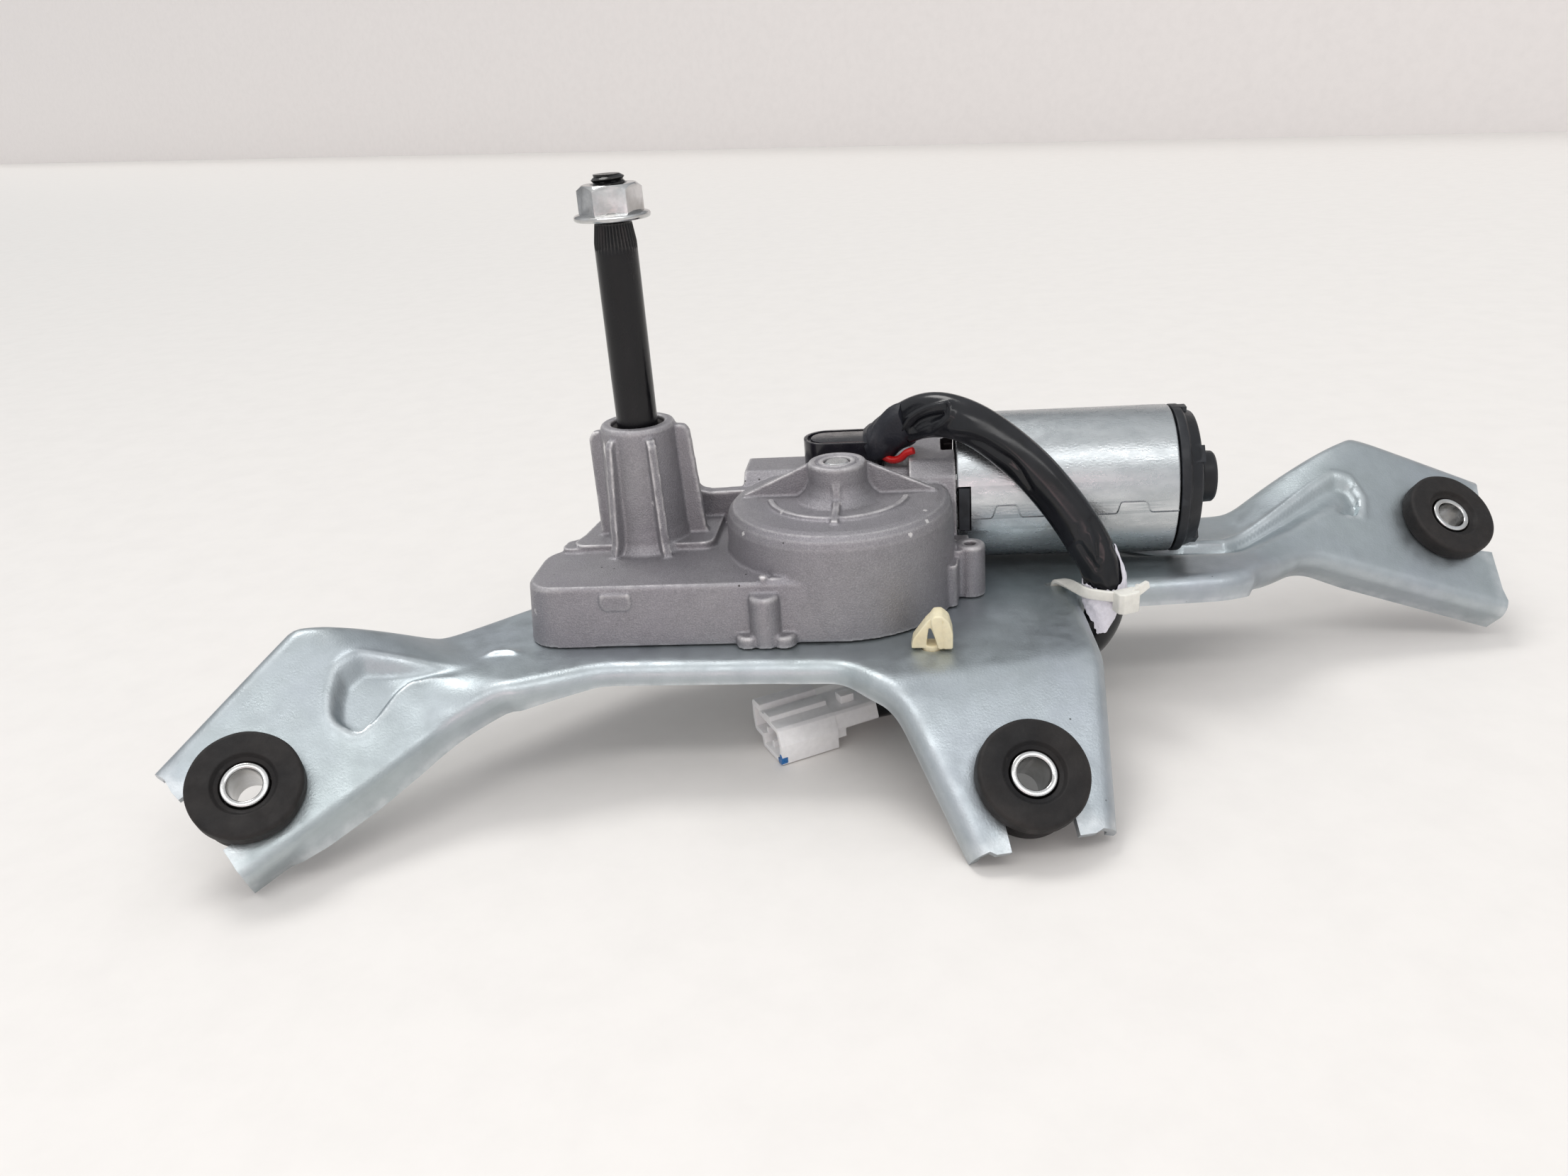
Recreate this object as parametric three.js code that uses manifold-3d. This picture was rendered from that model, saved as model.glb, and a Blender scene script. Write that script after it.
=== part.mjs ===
// Rear windshield wiper drive unit: pressed-steel mounting bracket on three rubber grommets, die-cast gear
// housing with a worm wheel and four-bar linkage, output shaft, and a permanent-magnet motor with its harness.
// Millimetres, +Z up along the output shaft, +X along the motor axis. Positions below are in the plate frame,
// whose origin is on the top skin of the bracket plate; ORIGIN moves the part so that its own origin is at the
// centre of the bottom of its box.
import * as THREE from 'three';
import { mergeVertices } from 'three/addons/utils/BufferGeometryUtils.js';
import Module from 'manifold-3d';

const wasm = await Module();
wasm.setup();

// ------------------------------------------------------------------ driving dimensions
const ORIGIN = [-65.6, 15.25, 31.2];    // added to plate-frame positions
const GAP = 0.3;                        // working gap between touching pieces
const SHEET = 2.0;                      // bracket sheet thickness
const BEND_R = 3.6;                     // outer bend radius of the flanges
const SHAFT = { x: 2.6, y: -1.0, r: 5.0, bottom: 6.2, top: 104.5 };
const TOWER = { top: 46.6, rTop: 9.25, rBase: 9.9, bore: 6.6 };
const LOW = { top: 14.5, wall: 2.6, roof: 2.4 };
const GEAR = { x: 51.3, y: -3.9, rHouse: 28.0, rCavity: 25.2, top: 26.2, teeth: 44, rTip: 21.35, rRoot: 19.4, z0: 15.2, z1: 22.6 };
const BOSS = { r: 7.1, top: 35.5 };
const CRANK = 12.0;                     // crank pin radius on the worm wheel
const LEVER = 15.0;                     // output lever length
const ROD_Z = [3.2, 5.8];                // connecting rod
const LEVER_Z = [6.4, 9.6];              // output lever
const MOTOR = { y: 21.5, z: 19.4, r: 18.9, wall: 1.4, x0: 80.4, x1: 134.5 };
const NUT = { z0: 94.6, z1: 102.3, flangeR: 8.9, af: 13.0, hole: 4.25 };
const GROMMET = { r: 12.0, front: 4.7, groove: 7.2, rear: 11.2, bore: 5.3 };
const BUSHING = { r: 5.0, bore: 3.6, z0: -12.6, z1: -0.7 };
const LEG_TILT = 41;                    // grommet axes lean this far from the shaft axis

const rad = THREE.MathUtils.degToRad;
const axisOf = (tilt, az) => new THREE.Vector3(
  Math.sin(rad(tilt)) * Math.cos(rad(az)), Math.sin(rad(tilt)) * Math.sin(rad(az)), Math.cos(rad(tilt)));
const N_SIDE = axisOf(LEG_TILT, -64);   // left and right legs
const N_FRONT = axisOf(LEG_TILT, -75);  // front leg
const SEATS = {                         // centre of each grommet's outer face, its axis, and the way its slot opens
  left: { c: [-72.3, -79.6, -6.7], n: N_SIDE, d: [-0.66, -0.70, -0.285] },
  front: { c: [93.5, -67.3, -13.3], n: N_FRONT, d: [0.195, -0.729, -0.656] },
  right: { c: [213.5, 36.7, 1.3], n: N_SIDE, d: [0.961, 0.180, -0.206] },
};

// ------------------------------------------------------------------ geometry helpers
function volumeOf(g) {
  const p = g.attributes.position, ix = g.index;
  const a = new THREE.Vector3(), b = new THREE.Vector3(), c = new THREE.Vector3();
  let v = 0;
  for (let i = 0; i < ix.count; i += 3) {
    a.fromBufferAttribute(p, ix.getX(i)); b.fromBufferAttribute(p, ix.getX(i + 1)); c.fromBufferAttribute(p, ix.getX(i + 2));
    v += a.dot(b.cross(c)) / 6;
  }
  return v;
}
// position only, shared vertices merged, faces pointing out
function clean(geo, tol = 1e-4) {
  let g = geo.clone();
  g.deleteAttribute('normal'); g.deleteAttribute('uv');
  g = mergeVertices(g, tol);
  const ix = [], o = g.index;
  for (let i = 0; i < o.count; i += 3) {
    const t = [o.getX(i), o.getX(i + 1), o.getX(i + 2)];
    if (t[0] !== t[1] && t[1] !== t[2] && t[0] !== t[2]) ix.push(...t);
  }
  g.setIndex(ix); g.clearGroups();
  if (volumeOf(g) < 0) {
    const r = [];
    for (let i = 0; i < ix.length; i += 3) r.push(ix[i], ix[i + 2], ix[i + 1]);
    g.setIndex(r);
  }
  return g;
}
const solid = (geo) => {
  const g = clean(geo);
  return new wasm.Manifold(new wasm.Mesh({
    numProp: 3, vertProperties: new Float32Array(g.attributes.position.array), triVerts: new Uint32Array(g.index.array) }));
};
function geoOf(man) {
  const m = man.getMesh(), g = new THREE.BufferGeometry();
  g.setAttribute('position', new THREE.BufferAttribute(new Float32Array(m.vertProperties), 3));
  g.setIndex(Array.from(m.triVerts));
  return g;
}
const at = (geo, x, y, z) => geo.translate(x, y, z);
// a cylinder standing on z0 with its axis along Z, Y-to-Z turned so the facets of nested ones line up
const rod = (r, z0, z1, n = 24, x = 0, y = 0, rTop = r) =>
  at(new THREE.CylinderGeometry(rTop, r, z1 - z0, n).rotateX(Math.PI / 2), x, y, (z0 + z1) / 2);
// revolve [radius, height] pairs about Z
const lathe = (pts, n = 32) => new THREE.LatheGeometry(pts.map(([r, z]) => new THREE.Vector2(r, z)), n).rotateX(Math.PI / 2);
const ring = (r0, r1, z0, z1, n = 32) => lathe([[r0, z0], [r1, z0], [r1, z1], [r0, z1], [r0, z0]], n);
// turn a shape made along +Z to lie along +X
const alongX = (geo) => geo.rotateY(Math.PI / 2);
const box = (x0, y0, z0, x1, y1, z1) =>
  at(new THREE.BoxGeometry(x1 - x0, y1 - y0, z1 - z0), (x0 + x1) / 2, (y0 + y1) / 2, (z0 + z1) / 2);
function extrude(points, z0, z1, holes = []) {
  const s = new THREE.Shape(points.map(([x, y]) => new THREE.Vector2(x, y)));
  for (const h of holes) s.holes.push(new THREE.Path(h.map(([x, y]) => new THREE.Vector2(x, y))));
  return at(new THREE.ExtrudeGeometry(s, { depth: z1 - z0, bevelEnabled: false, steps: 1 }), 0, 0, z0);
}
const circle = (x, y, r, n = 24) => Array.from({ length: n }, (_, i) =>
  [x + r * Math.cos(2 * Math.PI * i / n), y + r * Math.sin(2 * Math.PI * i / n)]);
// an outline from corners [x, y, radius, flag]: each corner becomes an arc; points carry the flag of the edge they start
function rounded(corners, step = 1e9, arcStep = 3) {
  const out = [], n = corners.length, cuts = [];
  for (let i = 0; i < n; i++) {
    const [x, y, r = 0] = corners[i], p = new THREE.Vector2(x, y);
    const a = new THREE.Vector2(...corners[(i + n - 1) % n].slice(0, 2)), b = new THREE.Vector2(...corners[(i + 1) % n].slice(0, 2));
    const u = a.clone().sub(p).normalize(), v = b.clone().sub(p).normalize();
    const half = Math.acos(THREE.MathUtils.clamp(u.dot(v), -1, 1)) / 2;
    if (r <= 0 || half > 1.55) { cuts.push([p.clone()]); continue; }
    const t = r / Math.tan(half), s = p.clone().addScaledVector(u, t), e = p.clone().addScaledVector(v, t);
    const centre = p.clone().addScaledVector(u.clone().add(v).normalize(), r / Math.sin(half));
    let a0 = Math.atan2(s.y - centre.y, s.x - centre.x), a1 = Math.atan2(e.y - centre.y, e.x - centre.x);
    while (a1 - a0 > Math.PI) a1 -= 2 * Math.PI;
    while (a1 - a0 < -Math.PI) a1 += 2 * Math.PI;
    const k = Math.max(1, Math.round(Math.abs(a1 - a0) * r / arcStep));
    cuts.push(Array.from({ length: k + 1 }, (_, j) => new THREE.Vector2(
      centre.x + r * Math.cos(a0 + (a1 - a0) * j / k), centre.y + r * Math.sin(a0 + (a1 - a0) * j / k))));
  }
  for (let i = 0; i < n; i++) {
    const c = cuts[i], f0 = corners[(i + n - 1) % n][3] ?? 0, f1 = corners[i][3] ?? 0;
    c.forEach((p, j) => out.push({ x: p.x, y: p.y, f: j < c.length - 1 ? (f1 && f0 ? 1 : 0) : f1, corner: c.length === 1 }));
    const q = cuts[(i + 1) % n][0], p = c[c.length - 1], k = Math.max(1, Math.round(p.distanceTo(q) / step));
    for (let j = 1; j < k; j++) out.push({ x: p.x + (q.x - p.x) * j / k, y: p.y + (q.y - p.y) * j / k, f: f1 });
  }
  return out;
}
const outline = (corners, arcStep = 3) => rounded(corners, 1e9, arcStep).map((p) => [p.x, p.y]);
function inset(poly, d) {
  const n = poly.length;
  return poly.map((p, i) => {
    const a = poly[(i + n - 1) % n], b = poly[(i + 1) % n];
    const t1 = new THREE.Vector2(p[0] - a[0], p[1] - a[1]).normalize(), t2 = new THREE.Vector2(b[0] - p[0], b[1] - p[1]).normalize();
    const m = new THREE.Vector2(-(t1.y + t2.y), t1.x + t2.x).normalize();
    const k = d / Math.max(0.5, m.dot(new THREE.Vector2(-t1.y, t1.x)));
    return [p[0] + m.x * k, p[1] + m.y * k];
  });
}
// a closed skin through sections of equal point count, [{ z, pts }], from low to high
function loft(sections) {
  const n = sections[0].pts.length, pos = [], ix = [];
  for (const s of sections) for (const [x, y] of s.pts) pos.push(x, y, s.z);
  for (let k = 0; k < sections.length - 1; k++) for (let i = 0; i < n; i++) {
    const a = k * n + i, b = k * n + (i + 1) % n, c = a + n, d = b + n;
    ix.push(a, b, d, a, d, c);
  }
  const cap = (s, base, flip) => {
    for (const [a, b, c] of THREE.ShapeUtils.triangulateShape(s.pts.map(([x, y]) => new THREE.Vector2(x, y)), []))
      flip ? ix.push(base + c, base + b, base + a) : ix.push(base + a, base + b, base + c);
  };
  cap(sections[0], 0, true); cap(sections[sections.length - 1], (sections.length - 1) * n, false);
  const g = new THREE.BufferGeometry();
  g.setAttribute('position', new THREE.Float32BufferAttribute(pos, 3)); g.setIndex(ix);
  return g;
}
// a closed section swept along a smooth curve through points
function sweep(points, section, steps) {
  const s = new THREE.Shape(section.map(([x, y]) => new THREE.Vector2(x, y)));
  const curve = new THREE.CatmullRomCurve3(points.map((p) => new THREE.Vector3(...p)), false, 'centripetal');
  return new THREE.ExtrudeGeometry(s, { steps, bevelEnabled: false, extrudePath: curve });
}
// Delaunay triangles of 2-D points
function delaunay(pts) {
  const big = 1e4, P = pts.concat([[-big, -big], [big, -big], [0, big]]), n = pts.length;
  let tris = [[n, n + 1, n + 2]];
  const inCircle = (t, p) => {
    const [a, b, c] = t.map((i) => P[i]);
    const ax = a[0] - p[0], ay = a[1] - p[1], bx = b[0] - p[0], by = b[1] - p[1], cx = c[0] - p[0], cy = c[1] - p[1];
    return (ax * ax + ay * ay) * (bx * cy - cx * by) - (bx * bx + by * by) * (ax * cy - cx * ay) + (cx * cx + cy * cy) * (ax * by - bx * ay) > 0;
  };
  for (let i = 0; i < n; i++) {
    const bad = tris.filter((t) => inCircle(t, P[i])), edges = new Map();
    for (const t of bad) for (let k = 0; k < 3; k++) {
      const a = t[k], b = t[(k + 1) % 3], key = Math.min(a, b) + '_' + Math.max(a, b);
      edges.has(key) ? edges.set(key, null) : edges.set(key, [a, b]);
    }
    tris = tris.filter((t) => !bad.includes(t));
    for (const e of edges.values()) if (e) tris.push([e[0], e[1], i]);
  }
  return tris.filter((t) => t.every((i) => i < n));
}
const inside = (poly, x, y) => {
  let r = false;
  for (let i = 0, j = poly.length - 1; i < poly.length; j = i++) {
    const [xi, yi] = poly[i], [xj, yj] = poly[j];
    if ((yi > y) !== (yj > y) && x < (xj - xi) * (y - yi) / (yj - yi) + xi) r = !r;
  }
  return r;
};

// ------------------------------------------------------------------ bracket: plate, three legs, rolled flanges
const planeZ = (seat) => {
  const { c, n } = seat, p = new THREE.Vector3(...c).addScaledVector(n, -5.0);
  return (x, y) => p.z - (n.x * (x - p.x) + n.y * (y - p.y)) / n.z;
};
const zLeft = planeZ(SEATS.left), zRight = planeZ(SEATS.right), zFront = planeZ(SEATS.front);
const ramp = (t, e = 0.1) => 0.5 * (Math.sqrt(t * t + e * e) - Math.sqrt((t - 1) * (t - 1) + e * e) + 1);
function skinZ(x, y) {
  let z = 0;
  if (x < 0) {
    const s = -0.874 * x - 0.486 * y, q = 0.486 * x - 0.874 * y;
    const sa = 54.6 - 0.26 * (q + 1.5), sb = 82 - 0.83 * (q - 4.4);
    z += ramp((s - sa) / (sb - sa)) * zLeft(x, y);
  }
  if (x > 120) {
    const xa = 156, xb = 172 + 0.515 * (y - 20);
    z += ramp((x - xa) / (xb - xa)) * zRight(x, y);
  }
  if (x > 40 && y < -20) {
    const f = zFront(x, y);
    z += 0.5 * (f - Math.sqrt(f * f + 9));
  }
  return z;
}
function skinNormal(x, y) {
  const e = 0.2;
  return new THREE.Vector3(-(skinZ(x + e, y) - skinZ(x - e, y)) / (2 * e), -(skinZ(x, y + e) - skinZ(x, y - e)) / (2 * e), 1).normalize();
}
const F = 1, R = 1;
function slot(seat, lipL, lipR, flagOut) {
  const n = seat.n, d = new THREE.Vector3(...seat.d).normalize(), c = new THREE.Vector3().crossVectors(n, d);
  const o = new THREE.Vector3(...seat.c).addScaledVector(n, -5.0), pts = [];
  for (let i = 0; i <= 6; i++) {
    const a = Math.PI * i / 6, p = o.clone().addScaledVector(c, -7.6 * Math.cos(a)).addScaledVector(d, -7.6 * Math.sin(a));
    pts.push([p.x, p.y, 0, 0]);
  }
  return pts;
}
const CORNERS = [
  [-69.8, -91.4, 0, F], [-36.5, -56.8, 16, F], [-3, -42.4, 18, F], [53, -42.8, 9, F], [66.5, -56.2, 22, F],
  [80.4, -78.6, 0, 0], [88.1, -76.6, 0, 0], ...slot(SEATS.front), [102.4, -71.8, 0, 0],
  [110.9, -69.6, 0, F], [111.6, -40, 30, F], [109.4, -3.4, 4.2, F], [150, 0.6, 22, F], [172.5, 19.0, 14, F],
  [224.9, 21.6, 0, 0], [224.6, 35.9, 0, 0], ...slot(SEATS.right), [225.0, 48.0, 0, 0],
  [226.6, 55.4, 0, R], [190.5, 57.0, 9, R], [156, 45.0, 20, R], [100, 44.4, 15, R], [60, 41, 20, R], [24, 27, 20, R],
  [-12.5, 12.3, 14, R], [-48.6, -24.6, 10, R], [-74.0, -45.6, 5, R],
  [-93.4, -78.2, 0, 0], [-86.6, -81.6, 0, 0], ...slot(SEATS.left), [-75.7, -87.4, 0, 0],
];
function bracket(step, arcStep, grid, arcRows, holes) {
  const edge = rounded(CORNERS, step, arcStep), n = edge.length;
  // depth of the turned-down flange along the edge
  const lerp = (x, x0, x1, a, b) => a + (b - a) * THREE.MathUtils.clamp((x - x0) / (x1 - x0), 0, 1);
  const depthAt = (x, y) => {
    if (x < -60 && y > -80 && x + 0.55 * y < -95 || x < 176 && y > 0.42 * x - 16 && x < 60 || x >= 60 && y > 30) return 5.2;   // rear edge
    if (x > 105 && y < -8 && y > -75) return 5.2;                 // right edge of the front leg
    if (x > 100) return lerp(x, 150, 185, 5.4, 9.2);              // front edge of the right arm and leg
    return x < 20 ? lerp(x, -42, -4, 8.8, 4.8) : lerp(x, 52, 68, 4.8, 6.2);
  };
  const P = edge.map((p) => new THREE.Vector3(p.x, p.y, skinZ(p.x, p.y)));
  const N = edge.map((p) => skinNormal(p.x, p.y)), M = [], flanged = [];
  for (let i = 0; i < n; i++) {
    const prev = (i + n - 1) % n, next = (i + 1) % n, before = edge[prev].f, after = edge[i].f;
    flanged.push(before || after);
    const t = new THREE.Vector3();
    if (before) t.add(P[i].clone().sub(P[prev]).normalize());
    if (after) t.add(P[next].clone().sub(P[i]).normalize());
    if (!before && !after) { M.push(null); continue; }
    const m = t.normalize().cross(N[i]).normalize();
    const ref = before && after ? P[i].clone().sub(P[prev]).normalize().cross(N[i]).normalize() : m;
    M.push({ m, k: 1 / Math.max(0.6, m.dot(ref)) });
  }
  // top skin vertices with their normals; row 0 is the start of the bend
  const top = [], nor = [], add = (v, u) => { top.push(v); nor.push(u); return top.length - 1; };
  const base = [], rows = [];
  for (let i = 0; i < n; i++) {
    if (!flanged[i]) { base.push(add(P[i], N[i])); rows.push(null); continue; }
    const { m, k } = M[i], b = P[i].clone().addScaledVector(m, -BEND_R * k), r = [];
    b.z = skinZ(b.x, b.y);
    base.push(add(b, N[i]));
    for (let j = 1; j <= arcRows; j++) {
      const a = Math.PI / 2 * j / arcRows;
      r.push(add(b.clone().addScaledVector(m, BEND_R * Math.sin(a) * k).addScaledVector(N[i], -BEND_R * (1 - Math.cos(a))),
        m.clone().multiplyScalar(Math.sin(a)).addScaledVector(N[i], Math.cos(a)).normalize()));
    }
    r.push(add(b.clone().addScaledVector(m, BEND_R * k).addScaledVector(N[i], -depthAt(edge[i].x, edge[i].y)), m.clone()));
    rows.push(r);
  }
  const poly = base.map((i) => [top[i].x, top[i].y]), pts = poly.slice(), ids = base.slice();
  let xs = poly.map((p) => p[0]), ys = poly.map((p) => p[1]), row = 0;
  for (let y = Math.min(...ys) + grid / 2; y < Math.max(...ys); y += grid * 0.87, row++)
    for (let x = Math.min(...xs) + (row % 2 ? grid / 2 : 0) + 0.013 * row; x < Math.max(...xs); x += grid) {
      if (!inside(poly, x, y)) continue;
      let near = 1e9;
      for (let i = 0; i < n; i++) {
        const a = poly[i], b = poly[(i + 1) % n], dx = b[0] - a[0], dy = b[1] - a[1];
        const t = THREE.MathUtils.clamp(((x - a[0]) * dx + (y - a[1]) * dy) / (dx * dx + dy * dy), 0, 1);
        near = Math.min(near, Math.hypot(x - a[0] - t * dx, y - a[1] - t * dy));
      }
      if (near < grid * 0.45) continue;
      pts.push([x, y]); ids.push(add(new THREE.Vector3(x, y, skinZ(x, y)), skinNormal(x, y)));
    }
  const tris = [];
  for (const t of delaunay(pts)) {
    const cx = (pts[t[0]][0] + pts[t[1]][0] + pts[t[2]][0]) / 3, cy = (pts[t[0]][1] + pts[t[1]][1] + pts[t[2]][1]) / 3;
    if (!inside(poly, cx, cy)) continue;
    const [a, b, c] = t.map((i) => pts[i]);
    const ccw = (b[0] - a[0]) * (c[1] - a[1]) - (b[1] - a[1]) * (c[0] - a[0]) > 0;
    tris.push(ccw ? t.map((i) => ids[i]) : [ids[t[0]], ids[t[2]], ids[t[1]]]);
  }
  for (let i = 0; i < n; i++) {
    if (!edge[i].f) continue;
    const j = (i + 1) % n, A = [base[i], ...rows[i]], B = [base[j], ...rows[j]];
    for (let k = 0; k < A.length - 1; k++) tris.push([A[k], A[k + 1], B[k + 1]], [A[k], B[k + 1], B[k]]);
  }
  // thicken: the inner skin lies one sheet thickness behind, and every open edge gets a wall
  const pos = [], count = top.length;
  for (const v of top) pos.push(v.x, v.y, v.z);
  top.forEach((v, i) => { const u = v.clone().addScaledVector(nor[i], -SHEET); pos.push(u.x, u.y, u.z); });
  const ix = [], open = new Map();
  for (const [a, b, c] of tris) {
    ix.push(a, b, c, a + count, c + count, b + count);
    for (const [p, q] of [[a, b], [b, c], [c, a]]) open.has(q + '_' + p) ? open.delete(q + '_' + p) : open.set(p + '_' + q, [p, q]);
  }
  for (const [p, q] of open.values()) ix.push(p, p + count, q + count, p, q + count, q);
  const g = new THREE.BufferGeometry();
  g.setAttribute('position', new THREE.Float32BufferAttribute(pos, 3)); g.setIndex(ix);
  let man = solid(g);
  for (const h of holes) man = man.subtract(solid(h));
  return geoOf(man);
}

// ------------------------------------------------------------------ parts
const SCREWS = [[34.7, -31.2], [83.0, -5.2], [-17.2, -25.4], [-8.6, 5.2]];
const CLIP = [73.0, -34.5];
const SLIT = [104.4, -1.4];

const bracketGeo = bracket(9, 4.5, 13, 2, [
  ...SCREWS.map(([x, y]) => rod(2.4, -4, 2, 10, x, y)), rod(2.7, -4, 2, 12, ...CLIP),
  box(SLIT[0] - 2.6, SLIT[1] - 1.1, -4, SLIT[0] + 2.6, SLIT[1] + 1.1, 2)]);

const LOW_CORNERS = [[-24, -32.4, 7], [51.3, -32.2, 0], [51.3, 13, 0], [-13.5, 13, 4], [-14.6, -0.6, 5], [-24, -9, 6]];
function housing() {
  const low = outline(LOW_CORNERS, 3.5);
  let body = solid(loft([{ z: GAP, pts: low }, { z: LOW.top - 3, pts: inset(low, 1.4) }, { z: LOW.top, pts: inset(low, 3.2) }]));
  const g = (geo) => at(geo, GEAR.x, GEAR.y, 0);
  body = body.add(solid(g(lathe([[0, GAP], [28.2, GAP], [27.7, 22.6], [26.6, 25.3], [24.6, GEAR.top], [0, GEAR.top]], 36))));
  // bearing tower with its fins
  const t = (geo) => at(geo, SHAFT.x, SHAFT.y, 0);
  body = body.add(solid(t(lathe([[0, 11], [12.5, 11], [11.2, 15], [TOWER.rBase, 17.5], [TOWER.rTop, 45.8], [8.7, TOWER.top], [0, TOWER.top]], 24))));
  const fin = (az, r0, r1, zt) => {
    const s = extrude([[0, 12], [r1 + 2.4, 12], [r1 + 0.4, 17], [r0 + 1.3, zt - 1.6], [r0 - 0.2, zt], [0, zt]], -1.15, 1.15);
    return solid(t(s.rotateX(Math.PI / 2).rotateZ(rad(az))));
  };
  for (const [az, r0, r1] of [[178, 11.2, 12.0], [2, 11.2, 14.2], [-118, 9.8, 13.2], [-62, 9.8, 13.4], [60, 9.8, 13], [120, 9.8, 13]])
    body = body.add(fin(az, r0, r1, 44.2));
  // worm tunnel behind the gear, its end block, and the web to the tower
  body = body.add(solid(box(4, 9.5, GAP, 30, 14.0, 23.8)));
  body = body.add(solid(at(extrude([[-9, 0], [9, 0], [9, 5], [5.2, 7.8], [-5.2, 7.8], [-9, 5]], 0, 47).rotateX(Math.PI / 2).rotateZ(Math.PI / 2), 23.4, MOTOR.y, MOTOR.z)));
  body = body.add(solid(box(23.4, 11.0, GAP, 70.4, 31.0, MOTOR.z + 0.5)));
  // motor flange block
  const flange = [[2.6, GAP], [40.2, GAP], [40.2, 25], [35, 30.8], [9, 30.8], [4.2, 27.6], [2.6, 22]];
  const fl = extrude(flange.map(([y, z]) => [y, z]), 0, 11.6);       // drawn in the Y-Z plane, pushed along X
  fl.applyMatrix4(new THREE.Matrix4().set(0, 0, 1, 68.5, 1, 0, 0, 0, 0, 1, 0, 0, 0, 0, 0, 1));
  body = body.add(solid(fl));
  // gear-pin boss, its webs and the lugs for the screws
  body = body.add(solid(g(lathe([[0, 25], [9.6, 25], [7.7, 27.6], [BOSS.r, 29], [BOSS.r, 35.1], [6.7, BOSS.top], [0, BOSS.top]], 20))));
  const web = (pts, y0, y1) => solid(extrude(pts, y0, y1).rotateX(Math.PI / 2));
  body = body.add(solid(at(extrude([[-24, 25.5], [24, 25.5], [24, 26.6], [6, 34.2], [-6, 34.2], [-24, 26.6]], -1, 1).rotateX(Math.PI / 2), GEAR.x, GEAR.y + 2.0, 0)));
  body = body.add(solid(at(extrude([[0, 25.5], [19.6, 25.5], [19.6, 27.2], [7.6, 27.6], [6, 33.2], [0, 33.2]], -1, 1).rotateX(Math.PI / 2).rotateZ(-Math.PI / 2), GEAR.x, GEAR.y, 0)));
  body = body.add(solid(rod(3.6, GAP, 12.6, 16, 34.7, -31.6)));
  for (const dx of [-4.2, 4.2]) body = body.add(solid(rod(2.9, GAP, 2.9, 12, 34.7 + dx, -32.2)));
  body = body.add(solid(rod(3.7, GAP, 13.4, 16, 83.0, -5.2)));
  body = body.add(solid(box(74, -8.6, GAP, 83.0, 2.6, 12.6)));
  // cavities
  const keep = SCREWS.map(([x, y]) => solid(rod(4.2, -1, 13, 16, x, y)));
  let cave = solid(extrude(inset(low, 4.4), -1, LOW.top - LOW.roof));
  cave = cave.add(solid(g(rod(GEAR.rCavity, -1, GEAR.top - 2.6, 32))));
  for (const k of keep) cave = cave.subtract(k);
  cave = cave.subtract(solid(at(rod(6.6, 12.2, 40, 20), GEAR.x, GEAR.y, 0)).subtract(solid(at(rod(6.7, 12, 23.2, 20), GEAR.x, GEAR.y, 0))));
  body = body.subtract(cave);
  body = body.subtract(solid(at(alongX(rod(6.1, 27, 66, 20)), 0, MOTOR.y, MOTOR.z)));            // worm bore
  body = body.subtract(solid(at(alongX(rod(7.4, 65.9, 76.9, 20)), 0, MOTOR.y, MOTOR.z)));        // front bearing seat
  body = body.subtract(solid(at(alongX(rod(12.5, 76.8, 81, 24)), 0, MOTOR.y, MOTOR.z)));
  body = body.subtract(solid(t(rod(TOWER.bore, 5, 60, 24))));                                    // shaft bore
  body = body.subtract(solid(g(rod(3.3, 10, 60, 20))));                                          // gear-pin bore
  body = body.subtract(solid(g(ring(4.3, 5.3, 34.7, 37, 16))));                                  // groove round the pin
  for (const [x, y] of SCREWS) body = body.subtract(solid(rod(2.1, -1, 10.6, 10, x, y)));
  return geoOf(body);
}

function wormWheel() {
  const pts = [], n = GEAR.teeth;
  for (let i = 0; i < n; i++) {
    const a = 2 * Math.PI * i / n, p = 2 * Math.PI / n;
    for (const [r, f] of [[GEAR.rRoot, 0.2], [GEAR.rTip, 0.5], [GEAR.rTip, 0.85]])
      pts.push([r * Math.cos(a + f * p), r * Math.sin(a + f * p)]);
  }
  return extrude(pts, GEAR.z0, GEAR.z1, [circle(0, 0, 3.3, 16), circle(0, -CRANK, 2.8, 12)]);
}
function wormShaft() {
  // plain shaft with a single-start worm cut on it, made as rings of points whose radius follows the helix
  const xs = [], n = 8, pos = [], ix = [];
  const plain = (x, r) => xs.push([x, () => r]);
  plain(28, 2.4); plain(28.6, 2.9); plain(38, 2.9);
  for (let x = 39; x <= 64.01; x += 1.2)
    xs.push([x, (a) => 2.75 + 0.85 * Math.max(0, Math.sin(a - 2 * Math.PI * (x - 39) / 4.8)) * Math.min(1, (x - 38.2) / 2, (64.9 - x) / 2)]);
  plain(65, 2.9); plain(136.2, 2.9); plain(136.8, 2.4);
  xs.forEach(([x, f]) => { for (let i = 0; i < n; i++) { const a = 2 * Math.PI * i / n; pos.push(x, f(a) * Math.cos(a), f(a) * Math.sin(a)); } });
  for (let k = 0; k < xs.length - 1; k++) for (let i = 0; i < n; i++) {
    const a = k * n + i, b = k * n + (i + 1) % n; ix.push(a, b, b + n, a, b + n, a + n);
  }
  for (let i = 1; i < n - 1; i++) { ix.push(0, i + 1, i); const e = (xs.length - 1) * n; ix.push(e, e + i, e + i + 1); }
  const g = new THREE.BufferGeometry();
  g.setAttribute('position', new THREE.Float32BufferAttribute(pos, 3)); g.setIndex(ix);
  return at(g, 0, MOTOR.y, MOTOR.z);
}
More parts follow.
